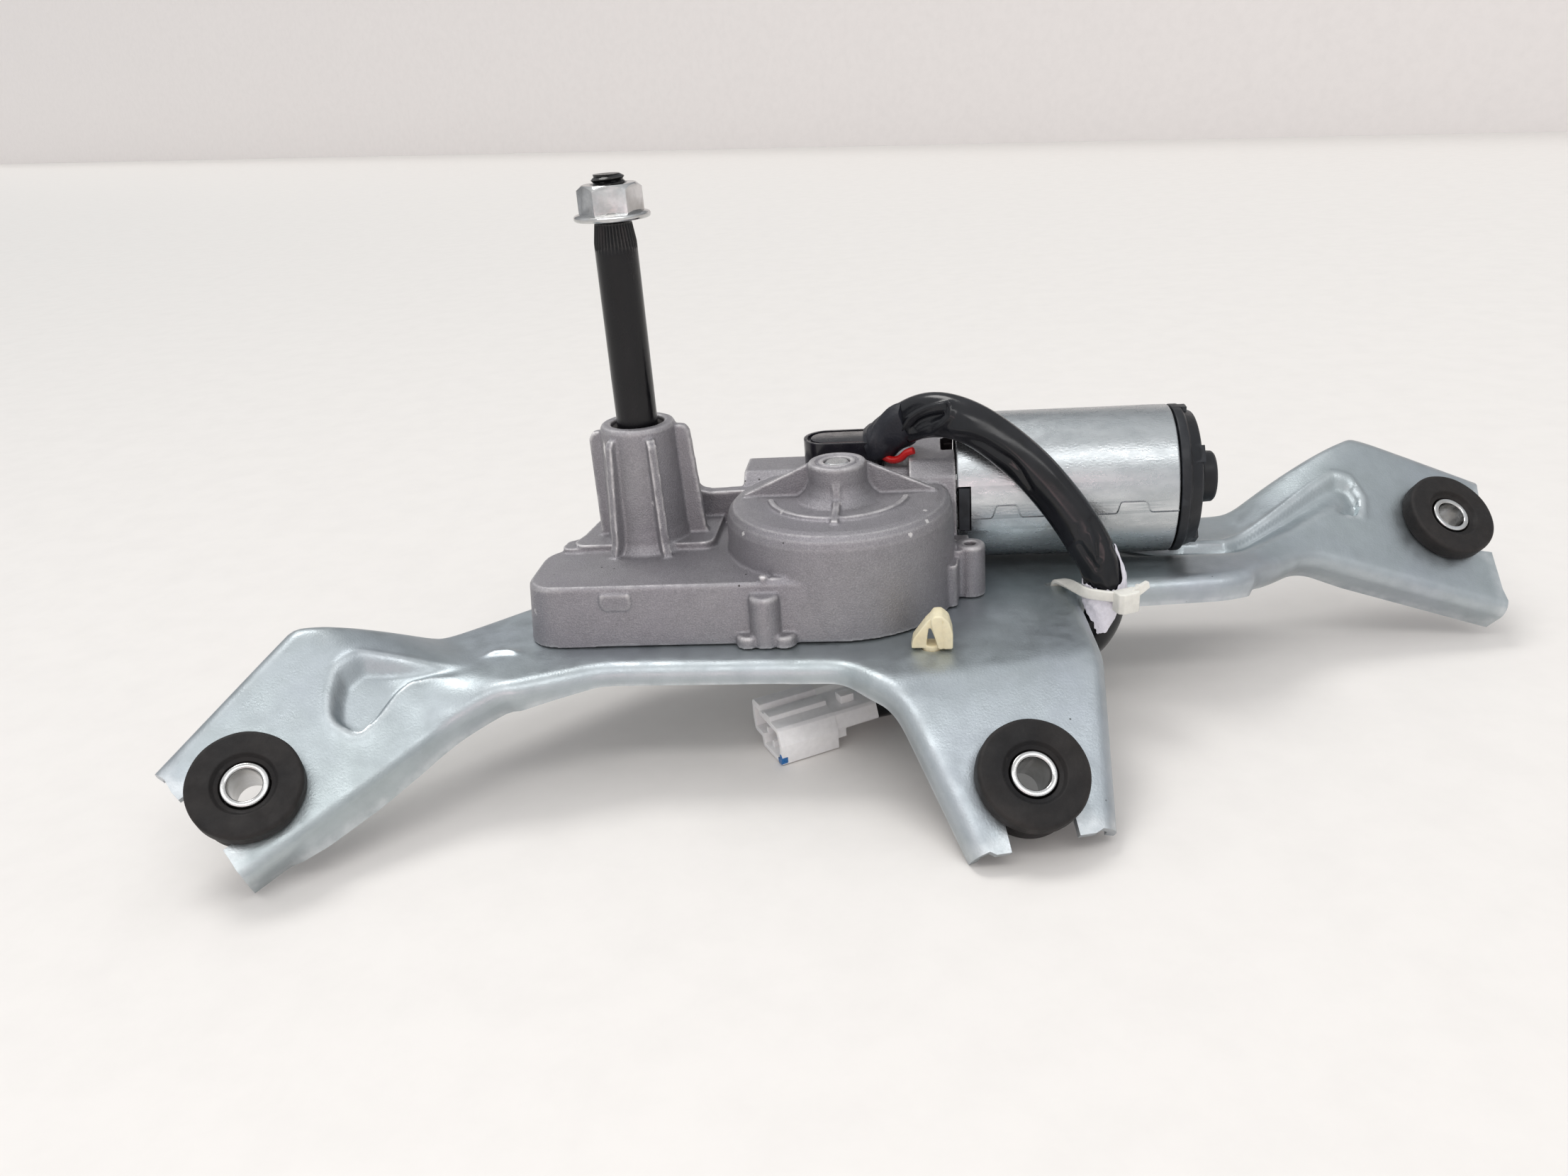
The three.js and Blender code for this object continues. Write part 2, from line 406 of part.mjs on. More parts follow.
// a ring about the motor axis
const motorRing = (r0, r1, x0, x1, n = 16) => at(alongX(ring(r0, r1, x0, x1, n)), 0, MOTOR.y, MOTOR.z);
function magnet(side) {
  const pts = [], k = 8, a0 = rad(25), a1 = rad(155);
  for (let i = 0; i <= k; i++) { const a = a0 + (a1 - a0) * i / k; pts.push([17.1 * Math.cos(a), 17.1 * Math.sin(a)]); }
  for (let i = k; i >= 0; i--) { const a = a0 + (a1 - a0) * i / k; pts.push([13.9 * Math.cos(a), 13.9 * Math.sin(a)]); }
  // Z of the drawing becomes X, its X becomes world Z, its Y becomes world Y
  const g = extrude(pts, 98, 129);
  g.applyMatrix4(new THREE.Matrix4().set(0, 0, 1, 0, 0, side, 0, MOTOR.y, 1, 0, 0, MOTOR.z, 0, 0, 0, 1));
  return g;
}
function yoke() {
  const outer = solid(motorRing(MOTOR.r - MOTOR.wall, MOTOR.r, MOTOR.x0, MOTOR.x1, 32));
  return geoOf(outer.subtract(solid(box(79, -1, 13.2, 83.8, 8, 25.0))));
}
function brushHolder() {
  let b = solid(motorRing(7.6, 17.0, 81.2, 86.8, 20));
  b = b.add(solid(box(80.8, 2.9, 13.6, 83.4, 7, 24.6)));
  for (const s of [-1, 1]) b = b.subtract(solid(box(84, MOTOR.y + s * 10 - 5, MOTOR.z - 2.4, 90, MOTOR.y + s * 10 + 5, MOTOR.z + 2.4)));
  return geoOf(b);
}
function endCap() {
  const outer = solid(at(alongX(lathe([[0, 134.8], [18.9, 134.8], [18.9, 137.2], [17.2, 138.2], [15.9, 140.6], [11.8, 141.6], [6.9, 142.3], [6.6, 145.6], [6.0, 146.2], [0, 146.2]], 28)), 0, MOTOR.y, MOTOR.z));
  const spigot = solid(motorRing(12.0, 17.0, 132.6, 135, 28));
  const pocket = solid(at(alongX(rod(6.3, 134, 138.4, 16)), 0, MOTOR.y, MOTOR.z));
  return geoOf(outer.add(spigot).subtract(pocket));
}
function grommet() {
  const { r, front, groove, rear, bore } = GROMMET;
  return lathe([[bore, -11.4], [rear, -11.4], [rear, -7.3], [groove, -7.3], [groove, -front], [r, -front], [r, -0.8], [r - 0.8, 0],
    [6.6, 0], [bore, -0.9], [bore, -11.4]], 20);
}
const bushing = () => lathe([[BUSHING.bore, BUSHING.z0], [BUSHING.r, BUSHING.z0], [BUSHING.r, BUSHING.z1], [BUSHING.bore, BUSHING.z1], [BUSHING.bore, BUSHING.z0]], 20);
function seatMatrix(seat) {
  const z = seat.n, x = new THREE.Vector3(...seat.d).normalize(), y = new THREE.Vector3().crossVectors(z, x);
  return new THREE.Matrix4().makeBasis(x, y, z).setPosition(...seat.c);
}

// harness route: out of the terminal cap, over the motor, down past the plate corner, and back under the plate
const SLEEVE_R = 4.6;
const ROUTE = [[63.6, 18.0, 35.0], [67.1, 16.4, 38.2], [72.6, 13.8, 41.1], [78.5, 10.7, 41.6], [85.3, 6.6, 39.8], [92.5, 2.3, 35.2],
  [98.8, -1.0, 30.0], [105.2, -4.0, 22.6], [110.5, -6.8, 15.0], [114.2, -8.8, 7.6], [115.9, -9.8, 1.6],
  [115.3, -10.0, -4.4], [112.9, -9.8, -9.8], [108.8, -9.4, -14.4], [103.3, -8.9, -17.6], [95.0, -8.4, -20.4], [87.0, -8.1, -22.6],
  [79.4, -8.1, -24.4], [72.0, -8.8, -25.4], [63.9, -11.1, -25.6], [56.4, -14.8, -25.4]];
const CONN = { x: 32.4, y: -28.9, z: -25.4, az: 31, w: 16.5, h: 11.4, l: 27.0, pocket: 13.0 };
function connectorFrame() {
  const a = rad(CONN.az);    // length runs back and to the right from the mating face
  return new THREE.Matrix4().makeBasis(new THREE.Vector3(Math.cos(a), Math.sin(a), 0), new THREE.Vector3(-Math.sin(a), Math.cos(a), 0), new THREE.Vector3(0, 0, 1))
    .setPosition(CONN.x, CONN.y, CONN.z);
}
function connector() {
  const { w, h, l, pocket } = CONN;
  let c = solid(box(0, -w / 2, -h / 2 + 0.1, l * 0.62, w / 2, h / 2));
  c = c.add(solid(box(0, -w / 2 + 1.6, -h / 2 + 2.2, l, w / 2 - 1.6, h / 2 - 1.2)));
  c = c.add(solid(box(2, -3.0, h / 2 - 1, l * 0.75, 3.0, h / 2 + 1.4)));
  c = c.subtract(solid(box(-1, -w / 2 + 1.3, -h / 2 + 1.4, pocket, w / 2 - 1.3, h / 2 - 1.5)));
  c = c.subtract(solid(box(l - 6, -3.4, -2.4, l + 1, 3.4, 2.8)));
  return geoOf(c);
}
// cable tie: points of the strap and the way its outer face looks at each, from the head round the harness, over the
// plate to the slit, down through it, under the flange and up behind the harness to the head again
const TIE_PATH = [
  [122.8, -10.4, 2.2, 1, 0, 0], [121.4, -13.9, 2.5, 0.76, -0.65, 0], [118.2, -16.0, 2.8, 0.35, -0.94, 0], [114.6, -16.0, 3.1, -0.2, -0.98, 0],
  [110.4, -14.2, 3.2, -0.7, -0.7, 0.1], [108.2, -9.8, 2.8, -0.8, -0.2, 0.55], [106.5, -5.2, 2.0, -0.35, 0, 0.94],
  [104.9, -2.5, 1.35, -0.1, 0.5, 0.86], [104.4, -1.4, -0.6, 0, 1, 0.05], [104.4, -1.4, -3.6, 0, 1, 0], [105.6, -2.3, -7.4, -0.3, 0.6, -0.75],
  [109.0, -3.6, -9.9, 0, 0.3, -0.95], [113.6, -3.7, -9.9, 0.1, 0.8, -0.6], [118.0, -4.4, -7.6, 0.4, 0.9, -0.1], [121.4, -6.3, -4.0, 0.8, 0.6, 0],
  [122.8, -8.6, -0.6, 1, 0.1, 0], [122.9, -9.9, 1.4, 1, 0, 0]];
function band(path, w, t, steps) {
  const curve = new THREE.CatmullRomCurve3(path.map((p) => new THREE.Vector3(p[0], p[1], p[2])), false, 'centripetal');
  const faces = new THREE.CatmullRomCurve3(path.map((p) => new THREE.Vector3(p[3], p[4], p[5])), false, 'catmullrom');
  const pos = [], ix = [];
  for (let i = 0; i <= steps; i++) {
    const p = curve.getPoint(i / steps), d = curve.getTangent(i / steps), u = faces.getPoint(i / steps);
    const n = u.addScaledVector(d, -u.dot(d)).normalize(), c = new THREE.Vector3().crossVectors(d, n);
    for (const [a, b] of [[-1, -1], [1, -1], [1, 1], [-1, 1]])
      pos.push(...p.clone().addScaledVector(c, a * w / 2).addScaledVector(n, b * t / 2).toArray());
  }
  for (let i = 0; i < steps; i++) for (let k = 0; k < 4; k++) {
    const a = i * 4 + k, b = i * 4 + (k + 1) % 4;
    ix.push(a, b, b + 4, a, b + 4, a + 4);
  }
  const e = steps * 4;
  ix.push(0, 2, 1, 0, 3, 2, e, e + 1, e + 2, e, e + 2, e + 3);
  const g = new THREE.BufferGeometry();
  g.setAttribute('position', new THREE.Float32BufferAttribute(pos, 3)); g.setIndex(ix);
  return g;
}

// ------------------------------------------------------------------ assembly
const zinc = { color: 0x9fb0b5, roughness: 0.42, metalness: 0.85 };
const cast = { color: 0x9a9298, roughness: 0.6, metalness: 0.7 };
const steel = { color: 0xb9bcc0, roughness: 0.35, metalness: 0.9 };
const black = { color: 0x15161a, roughness: 0.35, metalness: 0.0 };
const rubber = { color: 0x2a2726, roughness: 0.85, metalness: 0.0 };
const white = { color: 0xe9e9e6, roughness: 0.45, metalness: 0.0 };
const bronze = { color: 0x8d6a40, roughness: 0.5, metalness: 0.8 };

const root = new THREE.Group();
const unit = new THREE.Group();            // everything, in the plate frame
unit.position.set(...ORIGIN);
root.add(unit);
function mesh(name, geo, look, parent = unit) {
  const m = new THREE.Mesh(clean(geo), new THREE.MeshStandardMaterial(look));
  m.name = name;
  parent.add(m);
  return m;
}

mesh('mounting_bracket', bracketGeo, zinc);
mesh('gear_housing', housing(), cast);

// output shaft group, centred on the shaft axis
const shaft = new THREE.Group();
shaft.position.set(SHAFT.x, SHAFT.y, 0);
unit.add(shaft);
mesh('output_shaft', lathe([[0, SHAFT.bottom], [4.6, SHAFT.bottom], [5, 6.8], [5, 89.4], [4.35, 93.6], [3.95, 94.4], [3.95, 103.7], [3.3, SHAFT.top], [0, SHAFT.top]], 24),
  { color: 0x101014, roughness: 0.38, metalness: 0.4 }, shaft);
const nutGeo = geoOf(solid(new THREE.CylinderGeometry(NUT.af / 2 / Math.cos(Math.PI / 6), NUT.af / 2 / Math.cos(Math.PI / 6), NUT.z1 - NUT.z0 - 1, 6).rotateX(Math.PI / 2).translate(0, 0, (NUT.z1 + NUT.z0 + 1) / 2))
  .add(solid(rod(NUT.flangeR, NUT.z0, NUT.z0 + 1.3, 28, 0, 0, NUT.flangeR - 0.5))).subtract(solid(rod(NUT.hole, 90, 106, 24))));
mesh('flange_nut', nutGeo, { color: 0xd5d7d8, roughness: 0.22, metalness: 0.95 }, shaft);
mesh('upper_shaft_bush', ring(5.1, 6.3, 33.6, 43.2, 24), bronze, shaft);
mesh('lower_shaft_bush', ring(5.1, 6.3, 12.6, 24.6, 24), bronze, shaft);
mesh('shaft_seal', ring(5.12, 6.3, 43.6, 45.6, 24), rubber, shaft);
mesh('thrust_washer', ring(5.4, 8.6, 10.7, 11.6, 16), steel, shaft);
{
  const k = 16, pts = [];
  for (let i = 0; i <= k; i++) { const a = Math.PI * i / k; pts.push([8.4 * Math.cos(a), 8.4 * Math.sin(a)]); }
  for (let i = 0; i <= k; i++) { const a = Math.PI + Math.PI * i / k; pts.push([5.4 * Math.cos(a), -LEVER + 5.4 * Math.sin(a)]); }
  mesh('output_lever', extrude(pts, ...LEVER_Z, [circle(0, 0, 5.3, 24), circle(0, -LEVER, 2.8, 16)]), steel, shaft);
}
mesh('lever_pin', rod(2.5, 3.0, LEVER_Z[1], 16, 0, -LEVER), steel, shaft);
{
  const len = Math.hypot(GEAR.x - SHAFT.x, GEAR.y - CRANK - SHAFT.y + LEVER);
  const arm = new THREE.Group();           // the rod lies along its own +X from the lever pin
  arm.position.set(0, -LEVER, 0);
  arm.rotation.z = Math.atan2(GEAR.y - CRANK - SHAFT.y + LEVER, GEAR.x - SHAFT.x);
  shaft.add(arm);
  const k = 10, pts = [];
  for (let i = 0; i <= k; i++) { const a = Math.PI / 2 + Math.PI * i / k; pts.push([5.2 * Math.cos(a), 5.2 * Math.sin(a)]); }
  pts.push([8, -3.4], [len - 8, -3.4]);
  for (let i = 0; i <= k; i++) { const a = -Math.PI / 2 + Math.PI * i / k; pts.push([len + 5.2 * Math.cos(a), 5.2 * Math.sin(a)]); }
  pts.push([len - 8, 3.4], [8, 3.4]);
  mesh('connecting_rod', extrude(pts, ROD_Z[0], ROD_Z[1], [circle(0, 0, 2.8, 16), circle(len, 0, 2.8, 16)]), steel, arm);
}

// gear group, centred on the worm wheel axis
const gear = new THREE.Group();
gear.position.set(GEAR.x, GEAR.y, 0);
unit.add(gear);
mesh('worm_wheel', wormWheel(), { color: 0xe8e2cf, roughness: 0.5, metalness: 0 }, gear);
mesh('crank_pin', rod(2.5, ROD_Z[1] + 0.4, 21.6, 16, 0, -CRANK), steel, gear);
mesh('gear_pin', lathe([[0, 12.2], [3, 12.2], [3, 34.9], [2.5, 35.3], [0, 35.3]], 20), steel, gear);
mesh('gear_retaining_ring', ring(3.3, 5.6, 13.4, 14.8, 20), steel, gear);

// motor
mesh('worm_shaft', wormShaft(), steel);
mesh('commutator', motorRing(3.2, 6.4, 88.4, 95.6), { color: 0xb87345, roughness: 0.35, metalness: 0.9 });
mesh('armature_core', motorRing(3.2, 13.4, 100.0, 126.0, 20), { color: 0x6d6f73, roughness: 0.5, metalness: 0.8 });
mesh('winding_front', motorRing(3.2, 11.4, 96.0, 99.7), { color: 0xa5532a, roughness: 0.35, metalness: 0.7 });
mesh('winding_rear', motorRing(3.2, 11.4, 126.3, 130.0), { color: 0xa5532a, roughness: 0.35, metalness: 0.7 });
mesh('magnet_front', magnet(-1), { color: 0x3c3d40, roughness: 0.7, metalness: 0.3 });
mesh('magnet_rear', magnet(1), { color: 0x3c3d40, roughness: 0.7, metalness: 0.3 });
mesh('brush_holder', brushHolder(), black);
mesh('brush_front', box(89.6, MOTOR.y - 12.6, MOTOR.z - 2, 94.4, MOTOR.y - 6.8, MOTOR.z + 2), { color: 0x2b2b2d, roughness: 0.6, metalness: 0.2 });
mesh('brush_rear', box(89.6, MOTOR.y + 6.8, MOTOR.z - 2, 94.4, MOTOR.y + 12.6, MOTOR.z + 2), { color: 0x2b2b2d, roughness: 0.6, metalness: 0.2 });
mesh('front_bearing', motorRing(3.0, 7.0, 66.6, 76.4, 16), bronze);
mesh('rear_bearing', motorRing(3.0, 6.0, 134.3, 138.1, 16), bronze);
mesh('motor_yoke', yoke(), { color: 0xc2c9cb, roughness: 0.35, metalness: 0.9 });
mesh('motor_end_cap', endCap(), black);

// terminal cap on the worm tunnel
mesh('terminal_cap', loft([0, 6.2, 7.1].map((z, i) => ({ z: 27.5 + z,
  pts: inset(outline([[41.4, 12.4, 6.2], [61.6, 12.4, 3.5], [61.6, 25.4, 3.5], [41.4, 25.4, 6.2]], 3), i === 2 ? 1.0 : 0) }))), black);
mesh('motor_lead_red', sweep([[61.95, 14.0, 30.4], [64.2, 12.8, 29.7], [66.2, 12.0, 30.2], [68.1, 11.4, 31.9], [69.8, 10.9, 32.6]], circle(0, 0, 0.95, 8), 8), { color: 0xc01818, roughness: 0.4, metalness: 0 });

// fasteners and clips
SCREWS.forEach(([x, y], i) => {
  mesh(`housing_screw_${i + 1}`, lathe([[0, -5.4], [3.6, -5.4], [4.2, -4.6], [4.2, -2.3], [1.8, -2.3], [1.8, 9.6], [1.2, 10.2], [0, 10.2]], 12), steel).position.set(x, y, 0);
});
{
  const clip = new THREE.Group();
  clip.position.set(CLIP[0], CLIP[1], 0);
  unit.add(clip);
  const a = extrude([[-4.7, GAP], [-1.3, GAP], [-0.5, 5.0], [0.8, 5.0], [1.5, GAP], [4.7, GAP], [4.3, 4.5], [2.2, 8.2], [0.4, 8.6], [-1.3, 7.8], [-3.6, 3.8]], -2.4, 2.4).rotateX(Math.PI / 2);
  const stem = rod(2.3, -5.6, 1.4, 12);
  const barb = rod(1.4, -6.6, -2.9, 12, 0, 0, 3.4);
  const foot = box(-4.7, -2.4, GAP, 4.7, 2.4, 1.3);
  mesh('plate_clip', geoOf(solid(a).add(solid(stem)).add(solid(barb)).add(solid(foot))), { color: 0xe9dfb8, roughness: 0.4, metalness: 0 }, clip);
}
for (const [side, seat] of Object.entries(SEATS)) {
  const g = new THREE.Group();
  g.applyMatrix4(seatMatrix(seat));
  unit.add(g);
  mesh(`grommet_${side}`, grommet(), rubber, g);
  mesh(`bushing_${side}`, bushing(), { color: 0xcfd2d3, roughness: 0.25, metalness: 0.95 }, g);
}

// harness
mesh('harness_sleeve', sweep(ROUTE, circle(0, 0, SLEEVE_R, 8), 46), { color: 0x17181c, roughness: 0.3, metalness: 0 });
{
  const c = new THREE.Group();
  c.applyMatrix4(connectorFrame());
  unit.add(c);
  mesh('connector_housing', connector(), white, c);
  for (let i = 0; i < 4; i++)
    mesh(`connector_terminal_${i + 1}`, box(4.5, -5.0 + 2.8 * i, -0.6, 12.7, -3.4 + 2.8 * i, 0.6), { color: 0xc8b890, roughness: 0.3, metalness: 0.9 }, c);
}
{
  // tape wrapped round the sleeve where the tie holds it
  const a = new THREE.Vector3(115.25, -9.4, 4.9), b = new THREE.Vector3(115.75, -9.95, -2.3), d = b.clone().sub(a);
  const g = ring(5.08, 5.4, 0, d.length(), 16);
  const q = new THREE.Quaternion().setFromUnitVectors(new THREE.Vector3(0, 0, 1), d.clone().normalize());
  const t = new THREE.Group();
  t.position.copy(a); t.quaternion.copy(q);
  unit.add(t);
  mesh('cloth_tape', g, { color: 0xf2f0f4, roughness: 0.9, metalness: 0 }, t);
}
{
  const strap = solid(band(TIE_PATH, 2.6, 1.0, 45));
  const head = solid(at(new THREE.BoxGeometry(3.8, 5.6, 5.0).rotateZ(rad(-66)), 119.2, -16.6, 2.2));
  mesh('cable_tie', geoOf(strap.add(head)), { color: 0xe6e4dc, roughness: 0.35, metalness: 0 });
}

export default root;
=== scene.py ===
import math
import bpy
import numpy as np
from mathutils import Matrix, Vector
from mathutils.geometry import delaunay_2d_cdt


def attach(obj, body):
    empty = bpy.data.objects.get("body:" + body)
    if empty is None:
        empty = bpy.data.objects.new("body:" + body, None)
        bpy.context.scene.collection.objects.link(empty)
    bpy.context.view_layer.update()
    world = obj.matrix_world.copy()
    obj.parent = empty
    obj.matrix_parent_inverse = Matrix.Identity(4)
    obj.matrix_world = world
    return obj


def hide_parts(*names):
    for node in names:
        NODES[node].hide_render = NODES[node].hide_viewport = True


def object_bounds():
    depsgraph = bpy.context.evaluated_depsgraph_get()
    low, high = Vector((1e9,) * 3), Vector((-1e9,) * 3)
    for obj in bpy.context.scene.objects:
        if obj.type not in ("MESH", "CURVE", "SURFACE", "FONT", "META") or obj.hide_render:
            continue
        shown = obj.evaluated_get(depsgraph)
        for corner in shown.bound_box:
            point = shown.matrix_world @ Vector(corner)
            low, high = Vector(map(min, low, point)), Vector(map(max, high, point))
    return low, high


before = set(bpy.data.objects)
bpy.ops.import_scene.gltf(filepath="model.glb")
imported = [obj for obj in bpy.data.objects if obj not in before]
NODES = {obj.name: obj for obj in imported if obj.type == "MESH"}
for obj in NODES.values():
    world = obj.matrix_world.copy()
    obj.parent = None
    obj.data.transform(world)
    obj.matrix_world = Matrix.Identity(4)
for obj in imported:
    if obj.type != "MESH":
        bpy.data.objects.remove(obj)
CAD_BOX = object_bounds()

# Positions are written in the plate frame of the CAD source, in millimetres; ORIGIN moves them to the row frame.
ORIGIN = np.array([-65.6, 15.25, 31.2])
SC = bpy.context.scene
COL = SC.collection


def row(p):
    return (np.asarray(p, float) + ORIGIN) * 0.001


# ---------------------------------------------------------------- camera
n_ = np.array([-0.07, -0.915, -0.398]); n_ /= np.linalg.norm(n_)
x0 = np.array([1, 0, 0]) - n_[0] * n_; x0 /= np.linalg.norm(x0); y0 = np.cross(n_, x0)
ph = math.radians(-5.5)
x1 = x0 * math.cos(ph) + y0 * math.sin(ph); y1 = np.cross(n_, x1)
RC = np.stack([x1, y1, n_])
eye = row(RC @ (-np.array([-35.3, 1.2, 316.5])))
cam_data = bpy.data.cameras.new("camera")
cam = bpy.data.objects.new("camera", cam_data)
COL.objects.link(cam)
m = Matrix.Identity(4)
for r in range(3):
    m[r][0], m[r][1], m[r][2], m[r][3] = RC[r][0], -RC[r][1], -RC[r][2], eye[r]
cam.matrix_world = m
cam_data.sensor_width = 36
cam_data.sensor_fit = "HORIZONTAL"
cam_data.lens = 1703 / 2212 * 36
cam_data.clip_start, cam_data.clip_end = 0.01, 50
SC.camera = cam


# ---------------------------------------------------------------- materials
def nodes_of(mat):
    mat.use_nodes = True
    nt = mat.node_tree
    bsdf = next(n for n in nt.nodes if n.type == "BSDF_PRINCIPLED")
    return nt, bsdf


def put(sock, v):
    sock.default_value = v


def material(name, color, metallic=0.0, rough=0.5, spec=0.5, tint=None, tint_scale=60, tint_amount=0.35, rough_var=0.12, rough_scale=220,
             grain=0.0, grain_scale=900, coat=0.0, edge_wear_and_highlight=None, edge_wear_and_highlight_amount=0.0, specks=None, speck_scale=350, speck_size=0.06,
             subsurface=0.0, stretch=(1, 1, 1), aniso=0.0, dents=0.0, dents_scale=40, mottle=0.0):
    """A procedural surface: base colour with a broad tint, fine roughness changes, grain bump, edges lightened as wear
    and as a painted edge highlight, and specks.
    """
    mat = bpy.data.materials.new(name)
    nt, bsdf = nodes_of(mat)
    N, L = nt.nodes, nt.links
    co = N.new("ShaderNodeTexCoord")
    mp = N.new("ShaderNodeMapping")
    put(mp.inputs["Scale"], stretch)
    L.new(co.outputs["Object"], mp.inputs["Vector"])
    vec = mp.outputs["Vector"]

    def noise(scale, detail=4.0, roughness=0.55, v=vec):
        t = N.new("ShaderNodeTexNoise")
        put(t.inputs["Scale"], scale); put(t.inputs["Detail"], detail); put(t.inputs["Roughness"], roughness)
        L.new(v, t.inputs["Vector"])
        return t.outputs["Fac"]

    def remap(sock, a, b, c, d):
        r = N.new("ShaderNodeMapRange")
        for k, v in zip(("From Min", "From Max", "To Min", "To Max"), (a, b, c, d)):
            put(r.inputs[k], v)
        L.new(sock, r.inputs["Value"])
        return r.outputs["Result"]

    def mix(fac, a, b):
        x = N.new("ShaderNodeMix"); x.data_type = "RGBA"
        L.new(fac, x.inputs[0])
        for sock, val in ((x.inputs[6], a), (x.inputs[7], b)):
            if isinstance(val, (tuple, list)):
                put(sock, (*val[:3], 1))
            else:
                L.new(val, sock)
        return x.outputs[2]

    c = color
    if tint is None:
        tint = tuple(k * 0.7 for k in color)
    c = mix(remap(noise(tint_scale), 0.35, 0.68, 0.0, tint_amount), c, tint)
    c = mix(remap(noise(tint_scale * 7.3, 6, 0.65), 0.4, 0.75, 0.0, tint_amount * 0.6), c, tuple(k * 0.6 for k in color))
    if mottle:
        c = mix(remap(noise(grain_scale, 3, 0.6), 0.46, 0.62, 0.0, mottle), c, tuple(min(1, k * 1.9) for k in color))
        c = mix(remap(noise(grain_scale * 0.7, 3, 0.6), 0.54, 0.36, 0.0, mottle), c, tuple(k * 0.5 for k in color))
    rgh = remap(noise(rough_scale, 5), 0.3, 0.7, max(0.02, rough - rough_var), min(1, rough + rough_var))
    # sharp convex edges (Pointiness) are lightened: partly worn metal, partly a painted highlight along the edges
    if edge_wear_and_highlight:
        g = N.new("ShaderNodeNewGeometry")
        wear_and_highlight = N.new("ShaderNodeMath"); wear_and_highlight.operation = "MULTIPLY"
        L.new(remap(g.outputs["Pointiness"], 0.505, 0.56, 0.0, 1.0), wear_and_highlight.inputs[0])
        L.new(remap(noise(260, 4), 0.35, 0.6, 0.3, 1.0), wear_and_highlight.inputs[1])
        amt = N.new("ShaderNodeMath"); amt.operation = "MULTIPLY"; amt.use_clamp = True
        L.new(wear_and_highlight.outputs[0], amt.inputs[0]); put(amt.inputs[1], edge_wear_and_highlight_amount)
        c = mix(amt.outputs[0], c, edge_wear_and_highlight)
    if specks:
        vo = N.new("ShaderNodeTexVoronoi"); put(vo.inputs["Scale"], speck_scale)
        L.new(co.outputs["Object"], vo.inputs["Vector"])
        sp = remap(vo.outputs["Distance"], speck_size * 0.6, speck_size, 1.0, 0.0)
        gate = remap(noise(speck_scale * 0.21, 2, 0.5, co.outputs["Object"]), 0.57, 0.62, 0.0, 0.9)
        mu = N.new("ShaderNodeMath"); mu.operation = "MULTIPLY"
        L.new(sp, mu.inputs[0]); L.new(gate, mu.inputs[1])
        c = mix(mu.outputs[0], c, specks)
    L.new(c, bsdf.inputs["Base Color"])
    L.new(rgh, bsdf.inputs["Roughness"])
    put(bsdf.inputs["Metallic"], metallic)
    put(bsdf.inputs["Specular IOR Level"], spec)
    put(bsdf.inputs["Coat Weight"], coat)
    put(bsdf.inputs["Coat Roughness"], 0.12)
    put(bsdf.inputs["Anisotropic"], aniso)
    if subsurface:
        put(bsdf.inputs["Subsurface Weight"], subsurface)
        put(bsdf.inputs["Subsurface Radius"], (0.8, 0.8, 0.7))
        put(bsdf.inputs["Subsurface Scale"], 0.0015)
    last = None
    for amount, scale, detail, dist in ((grain, grain_scale, 5.0, 0.00018), (dents, dents_scale, 2.0, 0.0006)):
        if amount:
            b = N.new("ShaderNodeBump")
            put(b.inputs["Strength"], amount); put(b.inputs["Distance"], dist)
            L.new(noise(scale, detail), b.inputs["Height"])
            if last:
                L.new(last, b.inputs["Normal"])
            last = b.outputs["Normal"]
    if last:
        L.new(last, bsdf.inputs["Normal"])
    return mat
